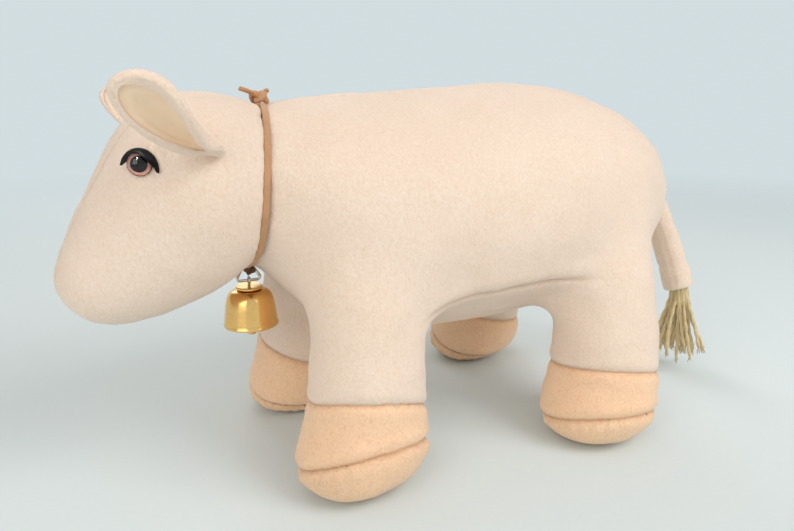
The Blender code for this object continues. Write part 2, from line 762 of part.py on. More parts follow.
BELL_SHAPE = (
    (0.46, 0.00),
    (0.66, 0.03),
    (0.81, 0.12),
    (0.89, 0.28),
    (0.93, 0.55),
    (0.945, 0.82),
    (0.985, 0.90),
    (1.000, 0.95),
    (0.990, 1.00),
)
bell_profile = [(STAPLE_WIRE + GAP, crown)]
for radius, share in BELL_SHAPE:
    bell_profile.append((radius * BELL_RADIUS, crown - share * BELL_HEIGHT))
for radius, share in reversed(BELL_SHAPE[1:-2]):
    bell_profile.append((radius * BELL_RADIUS - BELL_WALL, min(crown - share * BELL_HEIGHT, crown - BELL_WALL)))
bell_profile[len(BELL_SHAPE) + 1] = (0.945 * BELL_RADIUS - BELL_WALL, rim)
bell_profile.append((STAPLE_WIRE + GAP, crown - BELL_WALL))
bell_shell = solid("bell_shell", moved(turned(bell_profile, 28), bell_place), BRASS)

edge = 0.25 * COLLAR_THICKNESS
collar_profile = [
    (STAPLE_WIRE + GAP, collar_top),
    (COLLAR_RADIUS - edge, collar_top),
    (COLLAR_RADIUS, collar_top - edge),
    (COLLAR_RADIUS, collar_foot + edge),
    (COLLAR_RADIUS - edge, collar_foot),
    (STAPLE_WIRE + GAP, collar_foot),
]
bell_collar = solid("bell_collar", moved(turned(collar_profile, 24), bell_place), BRASS)


def ring_points(centre, radius, first, second, count):
    """Points of a circle in the plane of two directions."""
    points = []
    for step in range(count):
        angle = 2.0 * math.pi * step / count
        points.append(centre + first * (radius * math.cos(angle)) + second * (radius * math.sin(angle)))
    return points


hook = wire(ring_points(Vector((0.0, 0.0, 0.0)), STAPLE_HOOK, Y, Z, 12), STAPLE_WIRE, cyclic=True, sides=1)
loop = wire(ring_points(Z * loop_height, STAPLE_LOOP, Y, Z, 12), STAPLE_WIRE, cyclic=True, sides=1)
shank_profile = [
    (0.0, -STAPLE_HOOK + 0.3 * STAPLE_WIRE),
    (0.95 * STAPLE_WIRE, -STAPLE_HOOK + 0.3 * STAPLE_WIRE),
    (0.95 * STAPLE_WIRE, loop_height + STAPLE_LOOP - 0.3 * STAPLE_WIRE),
    (0.0, loop_height + STAPLE_LOOP - 0.3 * STAPLE_WIRE),
]
shank = turned(shank_profile, 10)
staple = moved(joined([shank, hook, loop], ["hook", "loop"]), bell_place)
bell_staple = solid("bell_staple", staple, CHROME)

clapper_eye = CLAPPER_WIRE + GAP + STAPLE_WIRE
ball_height = rim - CLAPPER_SHOWS + 0.65 * CLAPPER_BALL
eye_ring = wire(ring_points(Z * clapper_pivot, clapper_eye, X, Z, 12), CLAPPER_WIRE, cyclic=True, sides=1)
rod_top = clapper_pivot - clapper_eye
ball_profile = [(0.0, rod_top), (CLAPPER_ROD, rod_top - CLAPPER_ROD)]
for step in range(1, 8):
    angle = math.pi * step / 8.0
    if step == 1:
        ball_profile.append((CLAPPER_ROD, ball_height + 0.6 * CLAPPER_BALL))
    else:
        height = ball_height + 0.65 * CLAPPER_BALL * math.cos(angle)
        ball_profile.append((CLAPPER_BALL * math.sin(angle), height))
ball_profile.append((0.0, ball_height - 0.65 * CLAPPER_BALL))
clapper_mesh = moved(joined([turned(ball_profile, 12), eye_ring], ["eye_ring"]), bell_place)
clapper = solid("clapper", clapper_mesh, BRASS)

# Tail: a stuffed tube with a round root on the rump, bent down to its hem; the tassel hangs in it.
tail_touch, tail_normal, _, _ = body_surface.ray_cast(Vector((1.0, 0.0, TAIL_ROOT_Z)), -X)
tail_root = tail_touch + tail_normal * (TAIL_ROOT_RADIUS + GAP)
tail_end = tail_root + Vector((TAIL_BACK, TAIL_SIDE, -TAIL_FALL))
tail_bend = tail_root + Vector((0.62 * TAIL_BACK, 0.30 * TAIL_SIDE, -0.30 * TAIL_FALL))


def tail_centre(share):
    """A point of the tail's bent centre line."""
    near = tail_root.lerp(tail_bend, share)
    return near.lerp(tail_bend.lerp(tail_end, share), share)


tail_down = (tail_end - tail_bend).normalized()
tail_start = (tail_bend - tail_root).normalized()
tail_rows = [(tail_root - tail_start * TAIL_ROOT_RADIUS, 0.0, 0.0)]
tail_rows.append((tail_root - tail_start * (0.70 * TAIL_ROOT_RADIUS), 0.66 * TAIL_ROOT_RADIUS, 0.66 * TAIL_ROOT_RADIUS))
for share in (0.0, 0.2, 0.4, 0.6, 0.8, 0.97):
    size = TAIL_ROOT_RADIUS + share * (TAIL_END_RADIUS - TAIL_ROOT_RADIUS)
    tail_rows.append((tail_centre(share), size, size))
tail_rows.append((tail_end + tail_down * 0.001, 0.9 * TAIL_END_RADIUS, 0.9 * TAIL_END_RADIUS))
tail_rows.append((tail_end + tail_down * 0.002, 0.0, 0.0))
tail_side = tail_down.cross(Y).normalized()
tail_across = tail_side.cross(tail_down).normalized()
tail = solid("tail", stuffed_form(tail_rows, tail_side, tail_across, 8), CREAM_PLUSH)

# Tassel: a round knob in the hem's hollow, and a fluted skirt of yarn below it.
tassel_pivot = tail_end + tail_down * (0.45 * TASSEL_KNOB)
tassel_down = Vector((0.14, 0.0, -1.0)).normalized()
hollow = bmesh.new()
bmesh.ops.create_uvsphere(hollow, u_segments=16, v_segments=10, radius=TASSEL_KNOB + GAP)
hollow_mesh = moved(mesh_of(hollow, "hem_hollow"), Matrix.Translation(tassel_pivot))
boolean(tail, "DIFFERENCE", cutter("hem_hollow", hollow_mesh))

FLUTES = 11
TASSEL_SHAPE = (
    (-1.0, 0.0, 0.0),
    (-0.80, 0.58, 0.0),
    (-0.35, 0.93, 0.0),
    (0.20, 0.97, 0.03),
    (0.30, 1.00, 0.06),
    (0.60, 1.00, 0.14),
    (0.90, 1.00, 0.22),
    (1.00, 0.86, 0.30),
    (0.94, 0.40, 0.30),
    (0.90, 0.0, 0.0),
)
shape = bmesh.new()
bmesh.ops.create_uvsphere(shape, u_segments=4 * FLUTES, v_segments=len(TASSEL_SHAPE) - 1, radius=1.0)
tassel_side = tassel_down.cross(Y).normalized()
tassel_across = tassel_side.cross(tassel_down).normalized()
for point in shape.verts:
    polar = math.acos(max(-1.0, min(1.0, point.co.z)))
    turn = math.atan2(point.co.y, point.co.x)
    along, size, flute = TASSEL_SHAPE[round(polar / math.pi * (len(TASSEL_SHAPE) - 1))]
    if along <= 0.20:
        length = along * TASSEL_KNOB
        width = size * TASSEL_KNOB
    else:
        length = along * TASSEL_LENGTH
        width = size * (TASSEL_KNOB + along * (TASSEL_SPREAD - TASSEL_KNOB))
    width *= 1.0 + flute * math.cos(FLUTES * turn)
    sideways = tassel_side * (width * math.cos(turn))
    point.co = tassel_pivot + tassel_down * length + sideways + tassel_across * (width * math.sin(turn))
tassel = solid("tail_tassel", mesh_of(shape, "tassel"), YARN)

# Pivots: one empty on each joint's axis, with the pieces that turn there as its children.
bpy.context.view_layer.update()


def pivot(name, place, members, above=None):
    """An empty on a joint's axis that carries the named pieces."""
    empty = bpy.data.objects.new(name, None)
    parts.objects.link(empty)
    empty.location = place
    if above is not None:
        empty.parent = above
        empty.matrix_parent_inverse = Matrix.Translation(-above_place[above.name])
    above_place[name] = Vector(place)
    for member in members:
        child = parts.objects[member]
        child.parent = empty
        child.matrix_parent_inverse = Matrix.Translation(-Vector(place))
    return empty


above_place = {}
cow = pivot("cow", (0.0, 0.0, 0.0), [])
moving = {"bell_bail", "bell_shell", "bell_collar", "bell_staple", "clapper", "tail", "tail_tassel"}
moving |= {f"{kind}_{side}" for kind in ("ear_outer", "ear_lining") for side in ("left", "right")}
for piece in list(parts.objects):
    if piece.type == "MESH" and piece.name not in moving:
        piece.parent = cow
for tool in list(cutters.objects):
    tool.parent = cow
bail_pivot = pivot("bail_pivot", bail_centre, ["bell_bail"], cow)
bell_pivot = pivot("bell_pivot", bar, ["bell_shell", "bell_collar", "bell_staple"], bail_pivot)
pivot("clapper_pivot", bar + Z * clapper_pivot, ["clapper"], bell_pivot)
tail_pivot = pivot("tail_pivot", tail_root, ["tail"], cow)
pivot("tassel_pivot", tassel_pivot, ["tail_tassel"], tail_pivot)
pivot("ear_pivot_left", EAR_ROOT, ["ear_outer_left", "ear_lining_left"], cow)
right_root = Vector((EAR_ROOT.x, -EAR_ROOT.y, EAR_ROOT.z))
pivot("ear_pivot_right", right_root, ["ear_outer_right", "ear_lining_right"], cow)

# Origin: the middle of the cow's length, at the floor.
bpy.context.view_layer.update()
reach = [
    (piece.matrix_world @ Vector(corner)).x
    for piece in parts.objects
    if piece.type == "MESH"
    for corner in piece.bound_box
]
cow.location.x = -0.5 * (min(reach) + max(reach))
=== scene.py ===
import json
import math

import bmesh
import bpy
import numpy as np
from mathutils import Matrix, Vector, noise
from mathutils.kdtree import KDTree


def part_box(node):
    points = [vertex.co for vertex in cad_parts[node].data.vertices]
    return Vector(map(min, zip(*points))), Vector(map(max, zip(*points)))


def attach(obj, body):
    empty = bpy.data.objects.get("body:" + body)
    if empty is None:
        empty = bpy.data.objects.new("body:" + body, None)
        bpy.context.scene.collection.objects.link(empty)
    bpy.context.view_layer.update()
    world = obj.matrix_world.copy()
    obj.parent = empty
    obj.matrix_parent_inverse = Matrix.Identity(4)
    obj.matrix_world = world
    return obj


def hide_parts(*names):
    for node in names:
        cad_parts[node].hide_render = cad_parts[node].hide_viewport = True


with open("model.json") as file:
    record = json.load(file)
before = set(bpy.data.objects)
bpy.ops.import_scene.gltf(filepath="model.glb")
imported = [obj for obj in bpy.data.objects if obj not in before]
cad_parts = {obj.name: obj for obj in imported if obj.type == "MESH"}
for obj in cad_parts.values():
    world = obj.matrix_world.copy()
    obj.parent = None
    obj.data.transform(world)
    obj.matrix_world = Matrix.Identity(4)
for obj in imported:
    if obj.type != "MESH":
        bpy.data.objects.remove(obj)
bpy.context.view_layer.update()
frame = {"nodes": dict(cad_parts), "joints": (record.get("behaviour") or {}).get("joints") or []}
scene = bpy.context.scene

# Stage: a pale paper floor that fades into the backdrop. Broad soft lamps stand on the right, on the left and
# behind, and a small one only glints on gloss. The camera stands where the photograph was taken from.
CAMERA_AHEAD_OF_NOSE = 0.02304
CAMERA_SIDE = -0.30705
CAMERA_HEIGHT = 0.1886
CAMERA_DIP = math.radians(14.7)
CAMERA_TURN = math.radians(-26.6)
FOCAL_PIXELS = 600.0
PHOTO_WIDTH = 794
PAPER = (0.68, 0.765, 0.795, 1.0)
PAPER_GRAIN = (0.71, 0.79, 0.815, 1.0)
FLOOR_REACH = 4.0
FADE_START = 0.35
FADE_END = 1.8
LAMP_AIM = Vector((0.0, 0.0, 0.09))


def object_of(name, data):
    """A new object in the scene."""
    made = bpy.data.objects.new(name, data)
    scene.collection.objects.link(made)
    return made


eye_view = bpy.data.cameras.new("photo_view")
eye_view.sensor_width = 36.0
eye_view.lens = FOCAL_PIXELS / PHOTO_WIDTH * eye_view.sensor_width
eye_view.clip_start = 0.01
camera = object_of("photo_view", eye_view)
camera.location = (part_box("head")[0][0] + CAMERA_AHEAD_OF_NOSE, CAMERA_SIDE, CAMERA_HEIGHT)
camera.rotation_euler = (math.pi / 2.0 - CAMERA_DIP, 0.0, CAMERA_TURN)
scene.camera = camera
scene.view_settings.view_transform = "Standard"


def set_sockets(node, sockets):
    """Sets a node's sockets: the output of another node is linked, and any other value is written in."""
    for name, value in sockets.items():
        if isinstance(value, bpy.types.NodeSocket):
            node.id_data.links.new(value, node.inputs[name])
        else:
            node.inputs[name].default_value = value
    return node


def node_in(tree, kind, sockets, **options):
    """A shader node with its options and its sockets set."""
    made = tree.nodes.new(kind)
    for key, value in options.items():
        setattr(made, key, value)
    return set_sockets(made, sockets)


def speckle(tree, scale, detail=2.0, stretch=None, roughness=0.5, distortion=0.0, turn=(0.0, 0.0, 0.0)):
    """A noise in the piece's own space, turned and stretched where it says so."""
    where = node_in(tree, "ShaderNodeTexCoord", {}).outputs["Object"]
    if stretch:
        laid = {"Scale": stretch, "Rotation": turn, "Vector": where}
        where = node_in(tree, "ShaderNodeMapping", laid).outputs["Vector"]
    sockets = {"Scale": scale, "Detail": detail, "Roughness": roughness, "Distortion": distortion}
    made = node_in(tree, "ShaderNodeTexNoise", {"Vector": where, **sockets})
    return made.outputs["Fac"]


def blend(tree, share, low, high, kind="RGBA", **options):
    """A mix of two colours, or of two numbers, by a share."""
    sockets = {"Factor": share, "A": low, "B": high}
    return node_in(tree, "ShaderNodeMix", sockets, data_type=kind, **options).outputs["Result"]


def spread_out(tree, value, low, high, least=0.0, most=1.0, **options):
    """A value whose range from low to high is spread out from least to most."""
    sockets = {"Value": value, "From Min": low, "From Max": high, "To Min": least, "To Max": most}
    return node_in(tree, "ShaderNodeMapRange", sockets, **options).outputs["Result"]


def roughen(shader, height, strength, distance):
    """Gives a surface its fine relief."""
    sockets = {"Height": height, "Strength": strength, "Distance": distance}
    bump = node_in(shader.id_data, "ShaderNodeBump", sockets)
    set_sockets(shader, {"Normal": bump.outputs["Normal"]})


def material_of(name):
    """An empty material with its node tree and its main shader."""
    made = bpy.data.materials.new(name)
    made.use_nodes = True
    return made, made.node_tree, made.node_tree.nodes["Principled BSDF"]


def piece_of(name, points, faces, finish, body, slot=None):
    """A smooth-shaded mesh piece that rides on a body of the cow."""
    mesh = bpy.data.meshes.new(name)
    mesh.from_pydata([tuple(point) for point in points], [], [tuple(face) for face in faces])
    mesh.validate()
    mesh.shade_smooth()
    mesh.materials.append(finish)
    made = object_of(name, mesh)
    if body:
        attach(made, body)
    return made


paper, tree, shader = material_of("paper")
where = node_in(tree, "ShaderNodeTexCoord", {})
distance = node_in(tree, "ShaderNodeVectorMath", {0: where.outputs["Object"]}, operation="LENGTH")
fade = spread_out(
    tree, distance.outputs["Value"], FADE_START, FADE_END, 1.0, 0.0, interpolation_type="SMOOTHSTEP"
)
grain = blend(tree, speckle(tree, 420.0), PAPER, PAPER_GRAIN)
set_sockets(shader, {"Base Color": grain, "Alpha": fade, "Roughness": 0.95, "Specular IOR Level": 0.1})
reach = FLOOR_REACH
corners = [(-reach, -reach, 0.0), (reach, -reach, 0.0), (reach, reach, 0.0), (-reach, reach, 0.0)]
floor = piece_of("floor", corners, [(0, 1, 2, 3)], paper, None)

sky = bpy.data.worlds.new("studio")
scene.world = sky
sky.use_nodes = True
tree = sky.node_tree
room_light = tree.nodes["Background"]
set_sockets(room_light, {"Color": (1.0, 0.958, 0.91, 1.0), "Strength": 0.53})
backdrop = node_in(tree, "ShaderNodeBackground", {"Color": (0.645, 0.725, 0.75, 1.0), "Strength": 1.0})
rays = node_in(tree, "ShaderNodeLightPath", {})
seen = rays.outputs["Is Camera Ray"]
for kind in ("Is Glossy Ray", "Is Transmission Ray"):
    seen = node_in(tree, "ShaderNodeMath", {0: seen, 1: rays.outputs[kind]}, operation="MAXIMUM").outputs[0]
either = node_in(
    tree, "ShaderNodeMixShader", {"Fac": seen, 1: room_light.outputs[0], 2: backdrop.outputs[0]}
)
set_sockets(tree.nodes["World Output"], {"Surface": either.outputs[0]})


def lamp(name, place, size, watts, colour, lights_cloth=True):
    """A square soft lamp that faces the cow; one that doesn't light the cloth only glints on gloss."""
    light = bpy.data.lights.new(name, "AREA")
    light.size = size
    light.energy = watts
    light.color = colour
    made = object_of(name, light)
    made.location = place
    made.rotation_euler = (LAMP_AIM - Vector(place)).to_track_quat("-Z", "Y").to_euler()
    made.visible_diffuse = lights_cloth


lamp("soft_lamp_right", (0.62, -0.88, 1.02), 0.75, 9.5, (1.0, 0.985, 0.96))
lamp("soft_lamp_left", (-1.10, -0.75, 0.70), 0.9, 6.1, (1.0, 0.945, 0.875))
lamp("glint_lamp", (-0.48, -0.39, 0.93), 0.24, 15.0, (1.0, 0.97, 0.93), lights_cloth=False)
lamp("soft_lamp_behind", (0.1, 1.3, 1.0), 0.9, 5.5, (1.0, 0.99, 0.97))

# Body: the plush skin of the trunk and the legs, sewn from side panels and a belly gusset and stuffed tight.
# The skin is blown up between its seams as stuffing does it. The tan hooves are sewn on at sloping seams, and
# the domed soles are sewn into them. A seam is given by its height, slope, outward lean and outward bend.
# The cream and its shade tone are mixed partly by random brushed patches and partly as painted shade in the
# dips between tufts.
CREAM = (0.94, 0.795, 0.675, 1.0)
CREAM_SHADE = (0.88, 0.70, 0.565, 1.0)
CRUSHED_TONE = (0.80, 0.68, 0.58, 1.0)
# Tone of the painted shade along the seam grooves.
SEAM_SHADE_TONE = (0.78, 0.70, 0.63, 1.0)
SHEEN_TONE = (1.0, 0.93, 0.86, 1.0)
NAP_RELIEF = 0.0009
NAP_STRETCH = (1.0, 1.0, 0.8)
VOXEL = 0.0038
SKIN_SPREAD = 0.0006
RELAX_SHARE = 0.5
STUFFING_CAP = 0.003
HELD_BAND = 0.6 * VOXEL
HELD_LOW = 0.0012
STUFFING_FRAMES = 20
STUFFING_PRESSURE = 4.0
CLOTH_STIFFNESS = 12.0
LIMBS = ("front_left", "front_right", "rear_left", "rear_right")
LIMB_REACH = 0.055
LIMB_TOP = 0.080
HOOF_SEAM = {"front": (0.0413, -0.21, 0.315, 0.135), "rear": (0.0393, -0.19, 0.20, 0.06)}
SOLE_SEAM = {"front": (0.0150, 0.04, 0.37, 0.12), "rear": (0.0114, -0.08, 0.295, 0.06)}
HOOF_GROOVE = 0.0012
SOLE_GROOVE = 0.0016
GROOVE_WIDTH = 0.0017
SWELL_AWAY = 0.0055
SWELL_WIDTH = 0.0028
SEAM_WIDTH = 0.0010
SEAM_BEND = 0.008
STITCH_REACH = 0.00022
ANKLE_OFFSET = 0.00325
HIP_REACH = (0.040, 0.062)
HIP_FROM = (0.062, 0.085)
HIP_TO = (0.135, 0.165)
TOE_HEIGHT = 0.020
TOE_SHIFT = 0.0055
PUCKERS = 27
PUCKER_DEPTH = 0.00045
PUCKER_DROP = 0.0045
PUCKER_WIDTH = 0.0035
GUSSET_HEIGHT = 0.0975
GUSSET_RISE = 0.03
GUSSET_DIP = 0.008
GUSSET_TUCK = 0.005
GUSSET_SIDE = (0.030, 0.040)
GUSSET_END = (0.036, 0.056)
GUSSET_GROOVE = 0.0014
GUSSET_SWELL = 0.0012
BACK_GROOVE = 0.0006
BODY_LUMPS = 0.0010
LACE_SWELL = 0.0011
LACE_SWELL_WIDTH = 0.0045
LACE_NEAR = (0.004, 0.016)
FLOOR_GAP = 0.0001


def skin_of(names, spread):
    """The named solids together, each swollen so that neighbours run into each other."""
    together = bmesh.new()
    for name in names:
        one = bmesh.new()
        one.from_mesh(frame["nodes"][name].data)
        bmesh.ops.remove_doubles(one, verts=one.verts, dist=1e-5)
        one.normal_update()
        for point in one.verts:
            point.co += point.normal * spread
        mesh = bpy.data.meshes.new(name + "_skin")
        one.to_mesh(mesh)
        one.free()
        together.from_mesh(mesh)
        bpy.data.meshes.remove(mesh)
    mesh = bpy.data.meshes.new("skin")
    together.to_mesh(mesh)
    together.free()
    return object_of("skin", mesh)


def worked(thing):
    """The thing's mesh with its modifiers worked in, and the thing itself gone."""
    ready = thing.evaluated_get(bpy.context.evaluated_depsgraph_get())
    mesh = bpy.data.meshes.new_from_object(ready)
    old = thing.data
    bpy.data.objects.remove(thing)
    bpy.data.meshes.remove(old)
    return mesh


def voxelled(thing, voxel):
    """One even skin of small quads over everything in the thing."""
    change = thing.modifiers.new("even_skin", "REMESH")
    change.mode = "VOXEL"
    change.voxel_size = voxel
    return worked(thing)


def finer(mesh):
    """One subdivision of the skin."""
    thing = object_of("finer", mesh)
    change = thing.modifiers.new("finer", "SUBSURF")
    change.levels = 1
    change.render_levels = 1
    return worked(thing)


def array_of(rows, name):
    """A value of three numbers, from all points or faces of a mesh, as an array."""
    flat = np.empty(len(rows) * 3)
    rows.foreach_get(name, flat)
    return flat.reshape(-1, 3)


def points_of(mesh):
    """The mesh's points as an array."""
    return array_of(mesh.vertices, "co")


def normals_of(mesh):
    """The mesh's point normals as an array."""
    return array_of(mesh.vertex_normals, "vector")


def set_points(mesh, points):
    """Writes an array back into the mesh."""
    mesh.vertices.foreach_set("co", np.ascontiguousarray(points).ravel())
    mesh.update()


def relax(mesh, rounds, where):
    """Evens the skin out, where it says: each point moves towards the middle of its neighbours."""
    ends = np.empty(len(mesh.edges) * 2, dtype=np.int64)
    mesh.edges.foreach_get("vertices", ends)
    ends = ends.reshape(-1, 2)
    points = points_of(mesh)
    count = len(points)
    degree = np.maximum(np.bincount(ends.ravel(), minlength=count), 1).astype(float)
    for _ in range(rounds):
        middle = np.empty_like(points)
        for axis in range(3):
            forward = np.bincount(ends[:, 0], points[ends[:, 1], axis], minlength=count)
            backward = np.bincount(ends[:, 1], points[ends[:, 0], axis], minlength=count)
            middle[:, axis] = (forward + backward) / degree
        points = points + np.reshape(RELAX_SHARE * where, (-1, 1)) * (middle - points)
    set_points(mesh, points)


def stuff(mesh, held, cap):
    """Blows the skin up between its held points, and lets no point travel further than cap."""
    before = points_of(mesh)
    thing = object_of("stuffing", mesh)
    group = thing.vertex_groups.new(name="held")
    group.add([int(number) for number in np.nonzero(held)[0]], 1.0, "REPLACE")
    cloth = thing.modifiers.new("stuffing", "CLOTH")
    cloth.settings.quality = 4
    cloth.settings.mass = 0.3
    cloth.settings.tension_stiffness = CLOTH_STIFFNESS
    cloth.settings.compression_stiffness = CLOTH_STIFFNESS
    cloth.settings.use_pressure = True
    cloth.settings.uniform_pressure_force = STUFFING_PRESSURE
    cloth.settings.effector_weights.gravity = 0.0
    cloth.settings.vertex_group_mass = "held"
    cloth.point_cache.frame_start = 1
    cloth.point_cache.frame_end = STUFFING_FRAMES
    for number in range(1, STUFFING_FRAMES + 1):
        scene.frame_set(number)
    ready = thing.evaluated_get(bpy.context.evaluated_depsgraph_get())
    travel = points_of(ready.data) - before
    scene.frame_set(1)
    length = np.linalg.norm(travel, axis=1, keepdims=True)
    after = before + travel * np.minimum(1.0, cap / np.maximum(length, 1e-9))
    bpy.data.objects.remove(thing)
    set_points(mesh, after)


def smooth_step(low, high, value):
    """0 below low, 1 above high and an even S between."""
    share = np.clip((value - low) / (high - low), 0.0, 1.0)
    return share * share * (3.0 - 2.0 * share)


def bell_curve(value, width):
    """1 at zero, falling off to both sides over the width."""
    return np.exp(-np.square(value / width))


def lumps_of(points, coarse, fine):
    """Lumps of the stuffing: a coarse noise, and a fine one of half its height."""
    lumps = []
    for point in points:
        place = Vector(point)
        lumps.append(noise.noise(place * coarse) + 0.5 * noise.noise(place * fine))
    return np.array(lumps)


hoof_middle = {}
for limb in LIMBS:
    low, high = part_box("hoof_" + limb)
    hoof_middle[limb] = (0.5 * (low[0] + high[0]) + ANKLE_OFFSET, 0.5 * (low[1] + high[1]))


def limb_seam(seam, limb, x, y):
    """Height of a seam round a limb: sloped from toe to heel, and bent up towards the outer side."""
    height, slope, lean, bend = seam[limb.split("_")[0]]
    side = -1.0 if limb.endswith("left") else 1.0
    outward = side * (y - hoof_middle[limb][1])
    sloped = height + slope * (x - hoof_middle[limb][0])
    return sloped + lean * outward + bend * np.hypot(outward, SEAM_BEND)


def from_limb(limb, x, y):
    """Distance of each point from the upright line through a limb."""
    return np.hypot(x - hoof_middle[limb][0], y - hoof_middle[limb][1])


def in_limb(limb, x, y, z):
    """Which points are on the lower part of this limb."""
    return (from_limb(limb, x, y) < LIMB_REACH) & (z < LIMB_TOP)


lace_tree = KDTree(len(frame["nodes"]["neck_lace"].data.vertices))
for point in frame["nodes"]["neck_lace"].data.vertices:
    lace_tree.insert(point.co, point.index)
lace_tree.balance()


def from_lace(points):
    """Distance of each point from the lace."""
    return np.array([lace_tree.find(point)[2] for point in points])


def loose(mesh):
    """How freely the skin evens out: less beside the lace."""
    return 0.25 + 0.75 * smooth_step(*LACE_NEAR, from_lace(points_of(mesh)))


def snug(points):
    """How far the stuffing presses the skin out beside the lace."""
    return LACE_SWELL * bell_curve(from_lace(points), LACE_SWELL_WIDTH)


covered = ["torso"] + [f"{kind}_{limb}" for kind in ("leg", "hoof", "sole") for limb in LIMBS]
skin = voxelled(skin_of(covered, SKIN_SPREAD), VOXEL)
relax(skin, 10, loose(skin))
x, y, z = points_of(skin).T
hip = np.zeros(len(x))
for limb in LIMBS:
    hip = np.maximum(hip, 1.0 - smooth_step(*HIP_REACH, from_limb(limb, x, y)))
hip *= smooth_step(*HIP_FROM, z) * (1.0 - smooth_step(*HIP_TO, z))
relax(skin, 60, hip)
points = points_of(skin)
x, y, z = points.T
for limb in LIMBS:
    below = in_limb(limb, x, y, z) * (1.0 - smooth_step(0.0, TOE_HEIGHT, z))
    points[:, 0] -= TOE_SHIFT * below
set_points(skin, points)
x, y, z = points_of(skin).T
held = z < HELD_LOW
for limb in LIMBS:
    near = in_limb(limb, x, y, z)
    for seam in (HOOF_SEAM, SOLE_SEAM):
        held |= near & (np.abs(z - limb_seam(seam, limb, x, y)) < HELD_BAND)
stuff(skin, held, STUFFING_CAP)
skin = finer(skin)


def sew_line(skin, axis, offset, chosen):
    """Puts a line of edges into the chosen faces of a skin, where the place on the axis equals the offset."""
    faces = [face for face in skin.faces if chosen(face.calc_center_median(), face.normal)]
    edges = {edge for face in faces for edge in face.edges}
    ends = {point for edge in edges for point in edge.verts}
    across = Vector((0.0, 0.0, 0.0))
    across[axis] = 1.0
    for point in skin.verts:
        point.co[axis] -= offset(point.co)
    for point in ends:
        if abs(point.co[axis]) < STITCH_REACH:
            point.co[axis] = 0.0
    geometry = list(ends) + list(edges) + faces
    bmesh.ops.bisect_plane(skin, geom=geometry, dist=1e-6, plane_co=(0.0, 0.0, 0.0), plane_no=across)
    for point in skin.verts:
        point.co[axis] += offset(point.co)
    skin.normal_update()


def gusset_seam(x):
    """Height of the seam between side panel and belly gusset."""
    return GUSSET_HEIGHT + GUSSET_RISE * x - GUSSET_DIP * smooth_step(0.015, 0.055, -x)


cut = bmesh.new()
cut.from_mesh(skin)
bpy.data.meshes.remove(skin)
for limb in LIMBS:
    for seam in (HOOF_SEAM, SOLE_SEAM):
        sew_line(
            cut,
            2,
            lambda place: float(limb_seam(seam, limb, place.x, place.y)),
            lambda middle, normal: in_limb(limb, middle.x, middle.y, middle.z),
        )
sew_line(
    cut,
    2,
    lambda place: float(gusset_seam(place.x)),
    lambda middle, normal: abs(middle.x) < 0.06 and abs(middle.y) > 0.03 and middle.z < 0.12,
)
sew_line(cut, 1, lambda place: 0.0, lambda middle, normal: normal.z > 0.3 or normal.x > 0.5)
body_skin = bpy.data.meshes.new("body_skin")
cut.to_mesh(body_skin)
cut.free()

points = points_of(body_skin)
outward = normals_of(body_skin)
x, y, z = points.T
depth = np.zeros(len(points))
# Painted shade along the seam grooves is gathered here and kept on the skin as its seam values.
seam_shade = np.zeros(len(points))
for limb in LIMBS:
    near = in_limb(limb, x, y, z)
    for seam, deep in ((HOOF_SEAM, HOOF_GROOVE), (SOLE_SEAM, SOLE_GROOVE)):
        gap = z - limb_seam(seam, limb, x, y)
        swell = 0.4 * deep * bell_curve(np.abs(gap) - SWELL_AWAY, SWELL_WIDTH)
        depth += near * (deep * bell_curve(gap, GROOVE_WIDTH) - swell)
        seam_shade = np.maximum(seam_shade, near * bell_curve(gap, SEAM_WIDTH))
    turn = np.arctan2(y - hoof_middle[limb][1], x - hoof_middle[limb][0])
    gathers = np.sin(PUCKERS * turn + 1.3 * np.sin(5.0 * turn))
    depth += near * PUCKER_DEPTH * gathers * bell_curve(gap + PUCKER_DROP, PUCKER_WIDTH)
gusset = smooth_step(*GUSSET_SIDE, np.abs(y)) * (1.0 - smooth_step(*GUSSET_END, np.abs(x)))
gap = z - gusset_seam(x)
swell = GUSSET_SWELL * bell_curve(gap - 0.006, 0.005)
depth += gusset * (GUSSET_GROOVE * bell_curve(gap, 0.0016) - swell)
seam_shade = np.maximum(seam_shade, 0.8 * gusset * bell_curve(gap, 0.0011))
tuck = gusset * smooth_step(0.0, 0.016, -gap) * (1.0 - smooth_step(0.020, 0.034, -gap))
back_seam = smooth_step(0.15, 0.17, z) * bell_curve(y, 0.0018)
depth += BACK_GROOVE * back_seam
seam_shade = np.maximum(seam_shade, 0.25 * back_seam)
raised = BODY_LUMPS * lumps_of(points, 38.0, 95.0) - depth + snug(points)
points = points + outward * raised[:, None]
points[:, 1] -= GUSSET_TUCK * tuck * np.sign(y)
points[:, 2] = np.maximum(points[:, 2], FLOOR_GAP)
set_points(body_skin, points)

pile = bpy.data.node_groups.new("pile", "ShaderNodeTree")
for name in ("Fibre", "Tuft"):
    pile.interface.new_socket(name, in_out="INPUT", socket_type="NodeSocketFloat")
for name in ("Patch", "Dip_Shade", "Mark", "Height"):
    pile.interface.new_socket(name, in_out="OUTPUT", socket_type="NodeSocketFloat")
given = node_in(pile, "NodeGroupInput", {})
tuft = speckle(pile, given.outputs["Tuft"], 2.0, NAP_STRETCH, 0.55, 0.3)
fibre = speckle(pile, given.outputs["Fibre"], 2.0, NAP_STRETCH, 0.7)
mark = speckle(pile, 820.0, 3.0, (1.0, 1.0, 0.6), 0.6, 1.1, (0.5, 0.6, 0.3))
low_pile = node_in(pile, "ShaderNodeMath", {0: tuft, 1: 0.55}, operation="MULTIPLY").outputs[0]
high_pile = node_in(pile, "ShaderNodeMath", {0: fibre, 1: 0.45, 2: low_pile}, operation="MULTIPLY_ADD")
# The tuft noise also goes out on its own, for painted shade in the dips between tufts.
sockets = {"Patch": speckle(pile, 26.0, 5.0), "Dip_Shade": tuft, "Mark": mark, "Height": high_pile.outputs[0]}
node_in(pile, "NodeGroupOutput", sockets)


